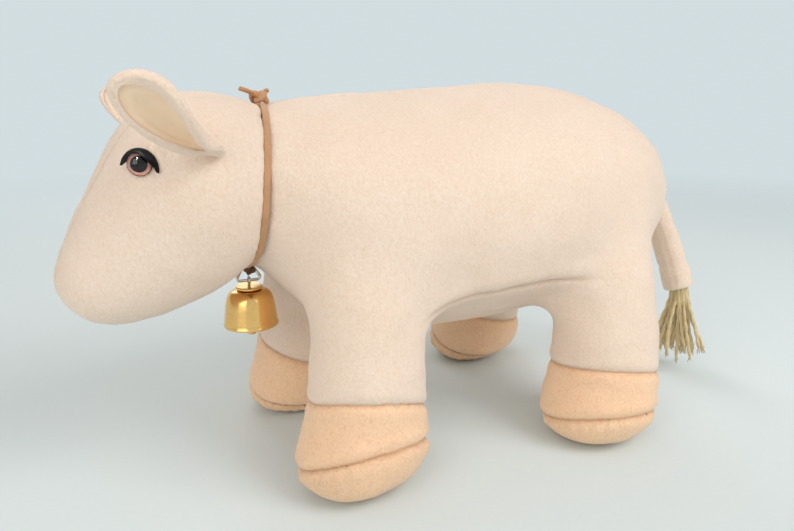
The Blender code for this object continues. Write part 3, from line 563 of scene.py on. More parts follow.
def plush(name, light, shade, fibre_scale, tuft_scale, contrast, relief, sheen, crushed):
    """Short-pile plush: brushed patches, painted shade between the tufts and along the seams, fine fibre,
    streaks of crushed pile and a soft sheen.
    """
    made, tree, shader = material_of(name)
    nap = node_in(tree, "ShaderNodeGroup", {}, node_tree=pile)
    set_sockets(nap, {"Fibre": fibre_scale, "Tuft": tuft_scale})
    # Painted shade: the colour darkens towards the shade tone in the dips between tufts, where the bump is
    # low.
    shade_between_tufts = spread_out(tree, nap.outputs["Dip_Shade"], 0.34, 0.66)
    brush = spread_out(tree, nap.outputs["Patch"], 0.36, 0.64)
    colour = blend(tree, blend(tree, contrast, brush, shade_between_tufts, "FLOAT"), shade, light)
    mark = spread_out(
        tree, nap.outputs["Mark"], 0.52, 0.70, 0.0, crushed, interpolation_type="SMOOTHSTEP"
    )
    colour = blend(tree, mark, colour, CRUSHED_TONE, blend_type="MULTIPLY")
    # Painted shade: the seam values darken the colour along the seam grooves.
    line = node_in(tree, "ShaderNodeAttribute", {}, attribute_name="seam")
    colour = blend(tree, line.outputs["Fac"], colour, SEAM_SHADE_TONE, blend_type="MULTIPLY")
    roughen(shader, nap.outputs["Height"], relief, NAP_RELIEF)
    set_sockets(shader, {"Base Color": colour, "Roughness": 0.92, "Specular IOR Level": 0.12})
    set_sockets(shader, {"Sheen Weight": sheen, "Sheen Roughness": 0.45, "Sheen Tint": SHEEN_TONE})
    return made


cream_plush = plush("cream_plush", CREAM, CREAM_SHADE, 2600.0, 780.0, 0.7, 0.85, 0.50, 0.22)
tan_plush = plush(
    "tan_plush", (1.0, 0.715, 0.485, 1.0), (0.92, 0.60, 0.39, 1.0), 2300.0, 850.0, 0.65, 0.75, 0.45, 0.5
)
sole_cloth = plush(
    "sole_cloth", (0.94, 0.68, 0.46, 1.0), (0.84, 0.56, 0.365, 1.0), 2300.0, 850.0, 0.65, 0.70, 0.40, 0.55
)


def sewn_piece(name, mesh, chosen, seam_shading, finish, slot, *nodes):
    """The chosen faces of a skin as a closed piece of their own."""
    made = bmesh.new()
    # The seam layer keeps the painted shade along the seam grooves.
    line = made.verts.layers.float.new("seam")
    fresh = {}
    for face in mesh.polygons:
        if not chosen[face.index]:
            continue
        ring = []
        for number in face.vertices:
            if number not in fresh:
                fresh[number] = made.verts.new(mesh.vertices[number].co)
                fresh[number][line] = float(seam_shading[number])
            ring.append(fresh[number])
        made.faces.new(ring)
    open_edges = [edge for edge in made.edges if edge.is_boundary]
    if open_edges:
        bmesh.ops.holes_fill(made, edges=open_edges, sides=0)
    bmesh.ops.recalc_face_normals(made, faces=made.faces)
    cover = bpy.data.meshes.new(name)
    made.to_mesh(cover)
    made.free()
    cover.shade_smooth()
    cover.materials.append(finish)
    thing = object_of(name, cover)
    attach(thing, "cow")
    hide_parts(*nodes)


x, y, z = array_of(body_skin.polygons, "center").T
left_over = np.ones(len(x), dtype=bool)
for limb in LIMBS:
    near = in_limb(limb, x, y, z)
    in_sole = near & (z < limb_seam(SOLE_SEAM, limb, x, y))
    in_hoof = near & (z < limb_seam(HOOF_SEAM, limb, x, y)) & ~in_sole
    left_over &= ~(in_sole | in_hoof)
    hoof, sole = "hoof_" + limb, "sole_" + limb
    sewn_piece(hoof + "_plush", body_skin, in_hoof, seam_shade, tan_plush, "tan_plush", hoof)
    sewn_piece(sole + "_cloth", body_skin, in_sole, seam_shade, sole_cloth, "sole_cloth", sole)
legs = [f"leg_{limb}" for limb in LIMBS]
sewn_piece("body_plush", body_skin, left_over, seam_shade, cream_plush, "cream_plush", "torso", *legs)

# Head: a pear of the same plush, stuffed tight, with two gusset seams down the face and one under the chin.
# It is sewn to the trunk in the crease where the lace lies, and dented where the eyes are drawn in.
HEAD_VOXEL = 0.0030
HEAD_CAP = 0.0015
HEAD_LUMPS = 0.0005
HEAD_GROOVE = 0.0009
HEAD_SEAM_WIDTH = 0.0013
# Strength of the painted shade along the head's seams.
HEAD_SEAM_SHADE = 0.55
FACE_FORWARD = 0.62
FACE_UPWARD = 0.78
FACE_SEAM_AT_NOSE = 0.006
FACE_SEAM_AT_BROW = 0.021
EYE_DENT = 0.0092
EYE_SINK = 0.0006
DENT_SLOPE = 0.55
DENT_DEPTH = 0.02
DENT_REACH = 0.024
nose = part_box("head")[0][0]


def face_seam(x):
    """Distance of the face's two gusset seams from the middle: narrow at the nose, wide at the brow."""
    widening = smooth_step(nose, nose + 0.062, x)
    return FACE_SEAM_AT_NOSE + (FACE_SEAM_AT_BROW - FACE_SEAM_AT_NOSE) * widening


def face_up(normal_x, normal_z):
    """How far a surface looks up from the face: below zero it is under the chin."""
    return -FACE_FORWARD * normal_x + FACE_UPWARD * normal_z


head_skin = voxelled(skin_of(["head"], 0.0), HEAD_VOXEL)
relax(head_skin, 8, loose(head_skin))
stuff(head_skin, points_of(head_skin)[:, 0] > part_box("neck_lace")[0][0], HEAD_CAP)
head_skin = finer(head_skin)
cut = bmesh.new()
cut.from_mesh(head_skin)
for side in (-1.0, 1.0):
    sew_line(
        cut,
        1,
        lambda place: side * float(face_seam(place.x)),
        lambda middle, normal: face_up(normal.x, normal.z) > 0.2 and middle.y * side > 0.0,
    )
sew_line(cut, 1, lambda place: 0.0, lambda middle, normal: face_up(normal.x, normal.z) < 0.0)
cut.to_mesh(head_skin)
cut.free()
points = points_of(head_skin)
outward = normals_of(head_skin)
upward = face_up(outward[:, 0], outward[:, 2])
fading = 1.0 - 0.8 * smooth_step(nose + 0.02, nose + 0.07, points[:, 0])
beside = np.abs(points[:, 1]) - face_seam(points[:, 0])
face_line = smooth_step(0.1, 0.3, upward) * bell_curve(beside, HEAD_SEAM_WIDTH)
chin_line = smooth_step(0.0, 0.2, -upward) * bell_curve(points[:, 1], HEAD_SEAM_WIDTH)
head_seams = np.maximum(face_line, chin_line) * fading
raised = HEAD_LUMPS * lumps_of(points, 42.0, 110.0) + snug(points) - HEAD_GROOVE * head_seams
points = points + outward * raised[:, None]


def middle_of(name):
    """Mean point of a CAD node."""
    return Vector(points_of(frame["nodes"][name].data).mean(axis=0))


eye_axis = {}
eye_base = {}
for side in ("left", "right"):
    lens_points = points_of(frame["nodes"]["eye_lens_" + side].data)
    lens_middle = middle_of("eye_lens_" + side)
    eye_axis[side] = (lens_middle - middle_of("eye_backing_" + side)).normalized()
    axis = np.array(eye_axis[side])
    base = float(((lens_points - np.array(lens_middle)) @ axis).min())
    eye_base[side] = lens_middle + eye_axis[side] * base
    offset = points - np.array(eye_base[side])
    along = offset @ axis
    beside = np.linalg.norm(offset - along[:, None] * axis, axis=1)
    ceiling = -EYE_SINK + DENT_SLOPE * np.maximum(beside - EYE_DENT, 0.0)
    dented = (along > ceiling) & (along < DENT_DEPTH) & (beside < DENT_REACH)
    points = points - np.where(dented, along - ceiling, 0.0)[:, None] * axis
set_points(head_skin, points)
whole = np.ones(len(head_skin.polygons), dtype=bool)
# Painted shade along the face and chin seams, kept as the head's seam values.
head_seam_shade = HEAD_SEAM_SHADE * head_seams
sewn_piece("head_plush", head_skin, whole, head_seam_shade, cream_plush, "cream_plush", "head")

# Eyes: safety eyes, each a clear moulded dome over a painted copper iris with a round black pupil.
# A black backing with a post goes through the cloth, and a white washer holds it inside the head.
LENS_RADIUS = 0.0050
LENS_HEIGHT = 0.0034
LENS_ROWS = 14
LENS_STEPS = 48
IRIS_HEIGHT = 0.0006
IRIS_STEPS = 64
IRIS_RINGS = (0.0, 0.5, 0.66, 0.8, 0.9, 1.0)
PUPIL_RINGS = 2


def stitched(rings):
    """Faces between neighbouring rings of point numbers; a ring of one point closes the form."""
    faces = []
    for lower, upper in zip(rings, rings[1:]):
        count = max(len(lower), len(upper))
        for step in range(count):
            after = (step + 1) % count
            if len(lower) == 1:
                faces.append((lower[0], upper[after], upper[step]))
            elif len(upper) == 1:
                faces.append((lower[step], lower[after], upper[0]))
            else:
                faces.append((lower[step], lower[after], upper[after], upper[step]))
    return faces


def turns(count):
    """The angles of a full turn in even steps."""
    return [2.0 * math.pi * step / count for step in range(count)]


def ringed(rows, steps, place):
    """Points and faces of rings about a middle; a row starts with its reach, and one without is a point."""
    points = []
    rings = []
    for row in rows:
        ring = [place(turn, *row) for turn in turns(steps if row[0] > 1e-6 else 1)]
        rings.append(range(len(points), len(points) + len(ring)))
        points += ring
    return points, stitched(rings)


def turned(profile, segments):
    """Points and faces of a form turned about Z from a list of (radius, height)."""
    return ringed(
        profile,
        segments,
        lambda turn, radius, height: Vector((radius * math.cos(turn), radius * math.sin(turn), height)),
    )


def stood(points, base, axis):
    """Points turned so that Z lies along the axis, and moved to the base."""
    turn = Vector((0.0, 0.0, 1.0)).rotation_difference(axis).to_matrix()
    return [base + turn @ point for point in points]


clear_dome, tree, shader = material_of("clear_dome")
set_sockets(shader, {"Base Color": (1.0, 0.97, 0.95, 1.0), "Roughness": 0.03, "Transmission Weight": 1.0})
set_sockets(shader, {"IOR": 1.32, "Specular IOR Level": 0.25, "Coat Weight": 0.5, "Coat Roughness": 0.06})
roughen(shader, speckle(tree, 900.0), 0.02, 0.0001)

iris_paint, tree, shader = material_of("iris_paint")
streaks = node_in(tree, "ShaderNodeAttribute", {}, attribute_name="streak")
flecked = blend(tree, 0.3, streaks.outputs["Fac"], speckle(tree, 1800.0), "FLOAT")
copper = blend(tree, flecked, (0.30, 0.11, 0.075, 1.0), (0.78, 0.40, 0.30, 1.0))
set_sockets(shader, {"Base Color": copper, "Roughness": 0.35, "Metallic": 0.3})


def black_of(name, deep, light, specular):
    """Black moulded plastic or paint, with a faint cloud in its dye and in its gloss."""
    made, tree, shader = material_of(name)
    cloud = speckle(tree, 700.0, 4.0)
    gloss = spread_out(tree, cloud, 0.0, 1.0, 0.34, 0.50)
    dye = blend(tree, cloud, deep, light)
    set_sockets(shader, {"Base Color": dye, "Roughness": gloss, "Specular IOR Level": specular})
    return made


black_plastic = black_of("black_plastic", (0.003, 0.003, 0.004, 1.0), (0.008, 0.007, 0.007, 1.0), 0.12)
pupil_paint = black_of("pupil_paint", (0.002, 0.002, 0.002, 1.0), (0.004, 0.003, 0.003, 1.0), 0.0)
white_plastic, tree, shader = material_of("white_plastic")
dye = blend(tree, speckle(tree, 500.0), (0.74, 0.73, 0.70, 1.0), (0.82, 0.81, 0.79, 1.0))
set_sockets(shader, {"Base Color": dye, "Roughness": 0.4})


def finished(name, finish):
    """A CAD node that keeps its own shape gets its finish."""
    for place in frame["nodes"][name].material_slots:
        place.material = finish


lens_curve = (LENS_RADIUS**2 + LENS_HEIGHT**2) / (2.0 * LENS_HEIGHT)
dome = [(0.0, 0.0001), (LENS_RADIUS * 0.97, 0.0001), (LENS_RADIUS, 0.0004)]
for step in range(1, LENS_ROWS + 1):
    turn = math.asin(LENS_RADIUS / lens_curve) * (1.0 - step / LENS_ROWS)
    height = LENS_HEIGHT - lens_curve + lens_curve * math.cos(turn)
    if height > 0.0005:
        dome.append((max(0.0, lens_curve * math.sin(turn)), height))
disc = [(LENS_RADIUS * 0.95 * share, IRIS_HEIGHT) for share in IRIS_RINGS]
ray = np.random.default_rng(7).random(IRIS_STEPS)
streak_values = [0.0]
streak_values += [0.35 * ray[step] + 0.65 * ring / 4.0 for ring in range(5) for step in range(IRIS_STEPS)]
for side in ("left", "right"):
    points, faces = turned(dome, LENS_STEPS)
    points = stood(points, eye_base[side], eye_axis[side])
    lens = piece_of("eye_dome_" + side, points, faces, clear_dome, "cow", "amber_lens")
    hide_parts("eye_lens_" + side)
    points, faces = turned(disc, IRIS_STEPS)
    points = stood(points, eye_base[side], eye_axis[side])
    iris = piece_of("iris_" + side, points, faces, iris_paint, "cow", "amber_lens")
    iris.data.materials.append(pupil_paint)
    iris.data.attributes.new("streak", "FLOAT", "POINT").data.foreach_set("value", streak_values)
    for face in iris.data.polygons:
        if face.index < PUPIL_RINGS * IRIS_STEPS:
            face.material_index = 1
    finished("eye_backing_" + side, black_plastic)
    finished("eye_washer_" + side, white_plastic)

# Eyelids: black moulded crescents that lie over the top of each eye and end in two points.
# The rear end is longer and broader, and the middle covers the top of the dome.
LID_STEPS = 56
LID_ROWS = 8
LID_TURNS = (math.radians(183.0), math.radians(-28.0))
LID_STATIONS = (0.0, 0.06, 0.20, 0.32, 0.42, 0.52, 0.66, 0.80, 0.90, 1.0)
LID_OUTER = (0.0076, 0.0072, 0.0068, 0.0067, 0.0067, 0.0067, 0.0067, 0.0070, 0.0075, 0.0084)
LID_INNER = (0.0066, 0.0051, 0.0048, 0.0047, 0.0043, 0.0037, 0.0032, 0.0036, 0.0047, 0.0072)
LID_FOOT = 0.0004
LID_THICKNESS = 0.0007
LID_CLEARANCE = 0.0010


def dome_height(radius):
    """Height of the eye's dome at a distance from its middle."""
    if radius >= LENS_RADIUS:
        return 0.0
    return LENS_HEIGHT - lens_curve + math.sqrt(lens_curve**2 - radius**2)


def tube_faces(count, size, closed):
    """Faces of a tube of count rings of the same size; an open tube gets two end caps."""
    rings = [range(number * size, (number + 1) * size) for number in range(count)]
    if closed:
        return stitched(rings + rings[:1])
    return stitched(rings) + [tuple(reversed(rings[0])), tuple(rings[-1])]


def mirrored(points, faces):
    """The same form on the cow's other side."""
    return [Vector((point.x, -point.y, point.z)) for point in points], [face[::-1] for face in faces]


eye_up = Vector((0.0, 0.0, 1.0))
eye_up = (eye_up - eye_axis["left"] * eye_up.dot(eye_axis["left"])).normalized()
eye_right = eye_up.cross(eye_axis["left"])
points = []
for step in range(LID_STEPS + 1):
    share = step / LID_STEPS
    turn = LID_TURNS[0] + share * (LID_TURNS[1] - LID_TURNS[0])
    outer = float(np.interp(share, LID_STATIONS, LID_OUTER))
    inner = float(np.interp(share, LID_STATIONS, LID_INNER))
    spoke = eye_right * math.cos(turn) + eye_up * math.sin(turn)
    crest = dome_height(inner) + LID_CLEARANCE
    upper = []
    for row in range(LID_ROWS):
        part = row / (LID_ROWS - 1)
        rise = math.sin(0.5 * math.pi * part) ** 0.8
        upper.append((outer + part * (inner - outer), LID_FOOT + (crest - LID_FOOT) * rise))
    ring = upper + [(radius, height - LID_THICKNESS) for radius, height in reversed(upper)]
    points += [eye_base["left"] + spoke * radius + eye_axis["left"] * height for radius, height in ring]
faces = tube_faces(LID_STEPS + 1, 2 * LID_ROWS, False)
for side in ("left", "right"):
    if side == "right":
        points, faces = mirrored(points, faces)
    lid = piece_of("moulded_lid_" + side, points, faces, black_plastic, "cow", "black_plastic")
    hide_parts("eyelid_" + side)

# Ears: each a plush leaf with its rim rolled over a smooth fleece lining, pinched together and sewn on at the
# base. The leaf cups towards the front, its rear edge is turned in, and it hangs from its pinched root.
EAR_LENGTH = 0.053
EAR_HALF_WIDTH = 0.0155
EAR_POINTS = Vector((-0.76, -0.42, 0.60)).normalized()
EAR_THICKNESS = 0.0026
EAR_RIM = 0.0036
RIM_HEIGHT = 0.0021
RIM_STEPS = 12
LINING_INSET = 0.0016
EAR_PINCH = 0.35
EAR_ROLL = math.radians(150.0)
EAR_CUP = math.radians(26.0)
EAR_FOLD_RADIUS = 0.0038
EAR_LAP = math.radians(-38.0)
EAR_TURNOVER = 0.50
LINING_TUCK = 0.43
EAR_RINGS = 26
EAR_STEPS = 112
TURNED_INWARD = (0.54, 0.58, 0.62, 0.66, 0.70, 0.73, 0.75)
TURNED_LIFTS = (0.0014, 0.0015, 0.0016, 0.0017, 0.0015, 0.0009, 0.0002)
TURNED_FOLDS = (0.25, 0.50, 0.75, 0.93, 1.0, 1.0, 1.0)
LINING_SHARES = (0.0, 0.5, 0.98, 1.0, 0.985, 0.94, 0.88, 0.83, 0.78)
LINING_SHARES += (0.74, 0.70, 0.66, 0.60, 0.5, 0.4, 0.2, 0.0)
LINING_LIFTS = (0.0003, 0.0003, -0.0006, -0.0003, 0.0002, 0.0006, 0.0009, 0.0011, 0.0013)
LINING_LIFTS += (0.0013, 0.0012, 0.0010, 0.0009, 0.0010, 0.0011, 0.0012, 0.0012)
joint_of = {joint["name"]: joint for joint in frame["joints"]}
ear_root = Vector(joint_of["ear_flap_left"]["pos_m"])
ear_across = Vector(joint_of["ear_flap_left"]["axis"])
ear_open = EAR_POINTS.cross(ear_across).normalized()


def ear_place(along, beside, inset, lift):
    """A point of the cupped leaf, lifted off it towards its open side."""
    share = 0.5 * (1.0 + along)
    length = inset + share * (EAR_LENGTH - 2.0 * inset)
    breadth = (EAR_HALF_WIDTH - inset) * max(share, 0.02) ** EAR_PINCH
    bend = min(EAR_ROLL * (1.0 - share) ** 1.3 + EAR_CUP, breadth / EAR_FOLD_RADIUS)
    radius = breadth / bend
    turn = beside * bend + EAR_LAP * (1.0 - share)
    lift = min(lift, 0.5 * radius)
    sideways = ear_across * ((radius - lift) * math.sin(turn))
    depth = ear_open * (radius - (radius - lift) * math.cos(turn))
    return ear_root + EAR_POINTS * length + sideways + depth


def turned_over(turn):
    """How far the rim is folded in at a turn round the leaf: not at the tip and the front, most behind."""
    behind = -turn % (2.0 * math.pi)
    if behind <= math.pi:
        return math.sin(0.75 * behind)
    return math.sin(0.75 * math.pi) * max(0.0, 1.0 - (behind - math.pi) / (0.4 * math.pi)) ** 2


def ear_sheet(inset, rows):
    """A closed leaf from rows of (share of the radius, lift, fold-in), starting and ending at its middle."""

    def place(turn, share, lift, folded):
        reach = share * (1.0 - folded * turned_over(turn))
        return ear_place(reach * math.cos(turn), reach * math.sin(turn), inset, lift)

    return ringed(rows, EAR_STEPS, place)


rim_share = 2.0 * EAR_RIM / (EAR_LENGTH + EAR_HALF_WIDTH * 2.0) * 2.0
outer_rows = [(0.0, -EAR_THICKNESS, 0.0)]
outer_rows += [(step / EAR_RINGS, -EAR_THICKNESS, 0.0) for step in range(2, EAR_RINGS - 1, 2)]
for step in range(RIM_STEPS + 1):
    turn = math.pi * step / RIM_STEPS
    share = 1.0 - 0.5 * rim_share + 0.5 * rim_share * math.sin(turn)
    outer_rows.append((share, -0.3 * EAR_THICKNESS - RIM_HEIGHT * math.cos(turn), 0.0))
for inward, lift, folded in zip(TURNED_INWARD, TURNED_LIFTS, TURNED_FOLDS):
    outer_rows.append((1.0 - inward * rim_share, lift, folded * EAR_TURNOVER))
outer_rows += [(0.5, 0.0, EAR_TURNOVER), (0.0, 0.0, 0.0)]
lining_rows = [(share, lift, LINING_TUCK) for share, lift in zip(LINING_SHARES, LINING_LIFTS)]

fleece_lining = plush(
    "fleece_lining", (0.95, 0.79, 0.60, 1.0), (0.90, 0.68, 0.48, 1.0), 1700.0, 120.0, 0.3, 0.16, 0.30, 0.05
)
for kind, inset, rows, finish, slot in (
    ("ear_outer", 0.0, outer_rows, cream_plush, "cream_plush"),
    ("ear_lining", LINING_INSET, lining_rows, fleece_lining, "fleece"),
):
    points, faces = ear_sheet(inset, rows)
    for side in ("left", "right"):
        if side == "right":
            points, faces = mirrored(points, faces)
        leaf = piece_of(f"{kind}_{side}_leaf", points, faces, finish, "ear_" + side, slot)
        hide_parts(f"{kind}_{side}")

# Lace: a flat strip of tan suede round the neck, lying in the crease between head and trunk.
# It is tied at the nape in one overhand knot with short cut ends, and carries the bell at the throat.
LACE_WIDTH = 0.0029
LACE_THICKNESS = 0.0017
LACE_FORWARD = 0.0014
LACE_STATIONS = 96
LACE_BLUR = 0.07
STRIP_STEPS = 16
SUEDE_SHEEN = (0.95, 0.80, 0.62, 1.0)
KNOT_STEPS = 90
KNOT_WIDTH = 0.0033
KNOT_THICKNESS = 0.0021
KNOT_INSET = Vector((0.0012, 0.0012, 0.0011))
KNOT_ENDS = ((Vector((-1.0, -0.2, 0.50)), 0.0100), (Vector((0.5, -0.3, 0.6)), 0.0048))
END_WIDTH = 0.0028
END_THICKNESS = 0.0016
END_START = 0.0015
END_DROOP = 0.0012
END_STEPS = 8


def suede_of(name, deep, light):
    """Split leather with a short nap, rubbed lighter in places."""
    made, tree, shader = material_of(name)
    nap = speckle(tree, 1300.0, 5.0)
    rubbed = blend(tree, 0.5, nap, speckle(tree, 140.0), "FLOAT")
    roughen(shader, nap, 0.5, 0.0004)
    set_sockets(shader, {"Base Color": blend(tree, rubbed, deep, light), "Roughness": 0.95})
    set_sockets(shader, {"Sheen Weight": 0.35, "Sheen Roughness": 0.5, "Sheen Tint": SUEDE_SHEEN})
    return made


suede = suede_of("suede", (0.36, 0.175, 0.078, 1.0), (0.66, 0.37, 0.185, 1.0))


def swept(path, facing, section, closed):
    """Points and faces of a strip swept along a path; facing gives the outward side at each point."""
    points = []
    count = len(path)
    for number, place in enumerate(path):
        if closed:
            ahead = path[(number + 1) % count] - path[number - 1]
        else:
            ahead = path[min(number + 1, count - 1)] - path[max(number - 1, 0)]
        ahead = ahead.normalized()
        up = (facing[number] - ahead * facing[number].dot(ahead)).normalized()
        across = ahead.cross(up)
        points += [place + across * wide + up * high for wide, high in section]
    return points, tube_faces(count, len(section), closed)


def add_strip(points, faces, strip):
    """Adds the points and faces of a strip to those of a piece, and says how many points came in."""
    faces += [tuple(number + len(points) for number in face) for face in strip[1]]
    points += strip[0]
    return len(strip[0])


def strip_section(width, thickness):
    """The rounded outline of a flat strip."""
    outline = []
    for turn in turns(STRIP_STEPS):
        wide = math.copysign(abs(math.cos(turn)) ** 0.45, math.cos(turn))
        high = math.copysign(abs(math.sin(turn)) ** 0.55, math.sin(turn))
        outline.append((0.5 * width * wide, 0.5 * thickness * high))
    return outline


def overhand(steps):
    """The closed loop of an overhand knot: its reach across, along and through at each step."""
    loop = []
    for turn in turns(steps):
        across = (math.sin(turn) + 2.0 * math.sin(2.0 * turn)) / 3.0
        along = (math.cos(turn) - 2.0 * math.cos(2.0 * turn)) / 3.0
        loop.append((across, along, -math.sin(3.0 * turn)))
    return loop


lace_points = points_of(frame["nodes"]["neck_lace"].data)
lace_middle = 0.5 * (lace_points.min(axis=0) + lace_points.max(axis=0))
angles = np.arctan2(lace_points[:, 2] - lace_middle[2], lace_points[:, 1])
order = np.argsort(angles)
angles = angles[order]
lace_points = lace_points[order]
lace_path = []
lace_facing = []
for turn in np.linspace(-math.pi, math.pi, LACE_STATIONS, endpoint=False):
    apart = np.abs((angles - turn + math.pi) % (2.0 * math.pi) - math.pi)
    weight = bell_curve(apart, LACE_BLUR)
    point = (lace_points * weight[:, None]).sum(axis=0) / weight.sum()
    lace_path.append(Vector((point[0] - LACE_FORWARD, point[1], point[2])))
    lace_facing.append(Vector((0.0, point[1], point[2] - lace_middle[2])))
points, faces = swept(lace_path, lace_facing, strip_section(LACE_WIDTH, LACE_THICKNESS), True)
lace = piece_of("suede_lace", points, faces, suede, "cow", "suede")
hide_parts("neck_lace")

knot_low, knot_high = (Vector(corner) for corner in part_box("lace_knot"))
knot_middle = 0.5 * (knot_low + knot_high)
knot_half = 0.5 * (knot_high - knot_low) - KNOT_INSET
knot_path = [knot_middle + Vector(reach) * knot_half for reach in overhand(KNOT_STEPS)]
knot_facing = [Vector((0.0, 0.0, 1.0)) + 0.6 * (point - knot_middle).normalized() for point in knot_path]
points, faces = swept(knot_path, knot_facing, strip_section(KNOT_WIDTH, KNOT_THICKNESS), True)
for lean, long in KNOT_ENDS:
    end_path = []
    for step in range(END_STEPS + 1):
        share = step / END_STEPS
        place = knot_middle + lean.normalized() * (END_START + long * share)
        end_path.append(place + Vector((0.0, 0.0, -END_DROOP * share**2)))
    end_facing = [Vector((0.0, 0.3, 1.0))] * len(end_path)
    add_strip(points, faces, swept(end_path, end_facing, strip_section(END_WIDTH, END_THICKNESS), False))
knot = piece_of("suede_knot", points, faces, suede, "cow", "suede")
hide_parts("lace_knot")

# Bell: a brass shell spun to a dome with a turned lip, a collar disc on its crown, and a bent-wire staple
# through both. A nickelled wire bail holds the staple and hangs on the lace, and a brass clapper hooks on
# inside. A small knot of dark suede on the lace sits beside the bail.
BELL_LOW, BELL_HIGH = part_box("bell_shell")
BELL_RADIUS = 0.5 * (BELL_HIGH[0] - BELL_LOW[0])
BELL_WALL = 0.0009
BELL_CROWN = 0.004
BELL_STEPS = 96
BELL_SHARES = (0.0, 0.30, 0.45, 0.58, 0.68, 0.755, 0.805, 0.838, 0.868, 0.895, 0.922)
BELL_SHARES += (0.947, 0.968, 0.978, 0.990, 1.0, 1.0, 0.990, 0.972)
BELL_DROPS = (0.0, 0.0, 0.006, 0.024, 0.058, 0.108, 0.17, 0.24, 0.34, 0.46, 0.60)
BELL_DROPS += (0.74, 0.86, 0.915, 0.935, 0.95, 0.975, 0.993, 1.0)
TURNING_LINES = (40.0, 40.0, 5200.0)
HITCH_PLACE = Vector((0.0, -0.0034, -0.0011))
HITCH_REACH = Vector((0.0026, 0.0015, 0.0016))
HITCH_WIDTH = 0.0018
HITCH_THICKNESS = 0.0012
HITCH_STEPS = 72


def metal(name, colour, deep, rough_low, rough_high, brushing, streaking):
    """Polished metal with fine turning lines, handling smears and a darker tone in the dull places."""
    made, tree, shader = material_of(name)
    smear = speckle(tree, 260.0, 5.0)
    roughen(shader, speckle(tree, 1.0, 2.0, TURNING_LINES), brushing, 0.0001)
    dull = spread_out(tree, smear, 0.35, 0.7, rough_low, rough_high)
    set_sockets(shader, {"Base Color": blend(tree, smear, deep, colour), "Roughness": dull, "Metallic": 1.0})
    set_sockets(shader, {"Anisotropic": streaking, "Anisotropic Rotation": 0.25})
    return made


brass = metal("brass", (0.95, 0.60, 0.23, 1.0), (0.86, 0.50, 0.16, 1.0), 0.18, 0.26, 0.03, 0.75)
chrome = metal("chrome", (0.80, 0.80, 0.79, 1.0), (0.66, 0.65, 0.63, 1.0), 0.08, 0.2, 0.02, 0.0)
# Painted darker than the lace: partly oiled leather, partly painted shade for the knot's place inside the
# bail.
oiled_shaded_suede = suede_of("oiled_shaded_suede", (0.085, 0.040, 0.020, 1.0), (0.20, 0.105, 0.052, 1.0))

hitch_middle = Vector(joint_of["bail_swing"]["pos_m"]) + HITCH_PLACE
hitch_path = []
for across, along, through in overhand(HITCH_STEPS):
    hitch_path.append(hitch_middle + Vector((across, through, along)) * HITCH_REACH)
hitch_facing = [point - hitch_middle + Vector((0.0, -0.002, 0.0)) for point in hitch_path]
points, faces = swept(hitch_path, hitch_facing, strip_section(HITCH_WIDTH, HITCH_THICKNESS), True)
piece_of("suede_hitch", points, faces, oiled_shaded_suede, "cow", "suede")

bell_height = BELL_HIGH[2] - BELL_LOW[2]
outside = [(share * BELL_RADIUS, -down * bell_height) for share, down in zip(BELL_SHARES, BELL_DROPS)]
inside = []
for radius, height in reversed(outside[:-1]):
    narrower = max(0.0, radius - BELL_WALL * min(1.0, radius / BELL_CROWN))
    inside.append((narrower, height - BELL_WALL * (1.0 - radius / BELL_RADIUS * 0.9)))
bell_top = Vector((0.5 * (BELL_LOW[0] + BELL_HIGH[0]), 0.0, BELL_HIGH[2]))
points, faces = turned(list(reversed(outside + inside)), BELL_STEPS)
shell = piece_of("brass_bell", [bell_top + point for point in points], faces, brass, "bell", "brass")
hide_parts("bell_shell")
for name in ("bell_collar", "clapper"):
    finished(name, brass)
for name in ("bell_staple", "bell_bail"):
    finished(name, chrome)

# Tail: a long narrow tube of the same plush, lightly stuffed, sewn on at the rump.
# It hangs in a soft bend and ends in a turned hem that holds the tassel.
TAIL_ROOT_RADIUS = 0.0065
TAIL_END_RADIUS = 0.0100
TAIL_REACH = Vector((0.032, -0.026, -0.092))
TAIL_BEND = Vector((0.62 * 0.032, 0.30 * -0.026, -0.30 * 0.092))
TAIL_ROUNDING = 8
TAIL_STATIONS = 70
TAIL_STEPS = 48
TAIL_RIPPLE = 0.0007
TAIL_SEAM_DEPTH = 0.0007
TAIL_SEAM_TURN = 2.6
TAIL_SEAM_WIDTH = 0.10
HEM_ROWS = ((0.0008, 0.97), (0.0011, 0.90), (0.0006, 0.84), (-0.006, 0.78))
tail_root = Vector(joint_of["tail_wag"]["pos_m"])


def tail_centre(share):
    """A point of the tail's bent centre line."""
    near = tail_root.lerp(tail_root + TAIL_BEND, share)
    return near.lerp((tail_root + TAIL_BEND).lerp(tail_root + TAIL_REACH, share), share)


tail_rows = []
start = TAIL_BEND.normalized()
for step in range(TAIL_ROUNDING):
    turn = 0.5 * math.pi * step / TAIL_ROUNDING
    place = tail_root - start * (TAIL_ROOT_RADIUS * math.cos(turn))
    tail_rows.append((place, TAIL_ROOT_RADIUS * math.sin(turn), start))
for step in range(TAIL_STATIONS + 1):
    share = step / TAIL_STATIONS
    ahead = (tail_centre(share + 0.01) - tail_centre(share - 0.01)).normalized()
    size = TAIL_ROOT_RADIUS + share * (TAIL_END_RADIUS - TAIL_ROOT_RADIUS)
    hem = 0.0006 * bell_curve(share - 0.93, 0.03) - 0.0005 * bell_curve(share - 0.87, 0.012)
    tail_rows.append((tail_centre(share), size + float(hem), ahead))
tail_down = (TAIL_REACH - TAIL_BEND).normalized()
for below, share in HEM_ROWS:
    tail_rows.append((tail_root + TAIL_REACH + tail_down * below, TAIL_END_RADIUS * share, tail_down))
points = []
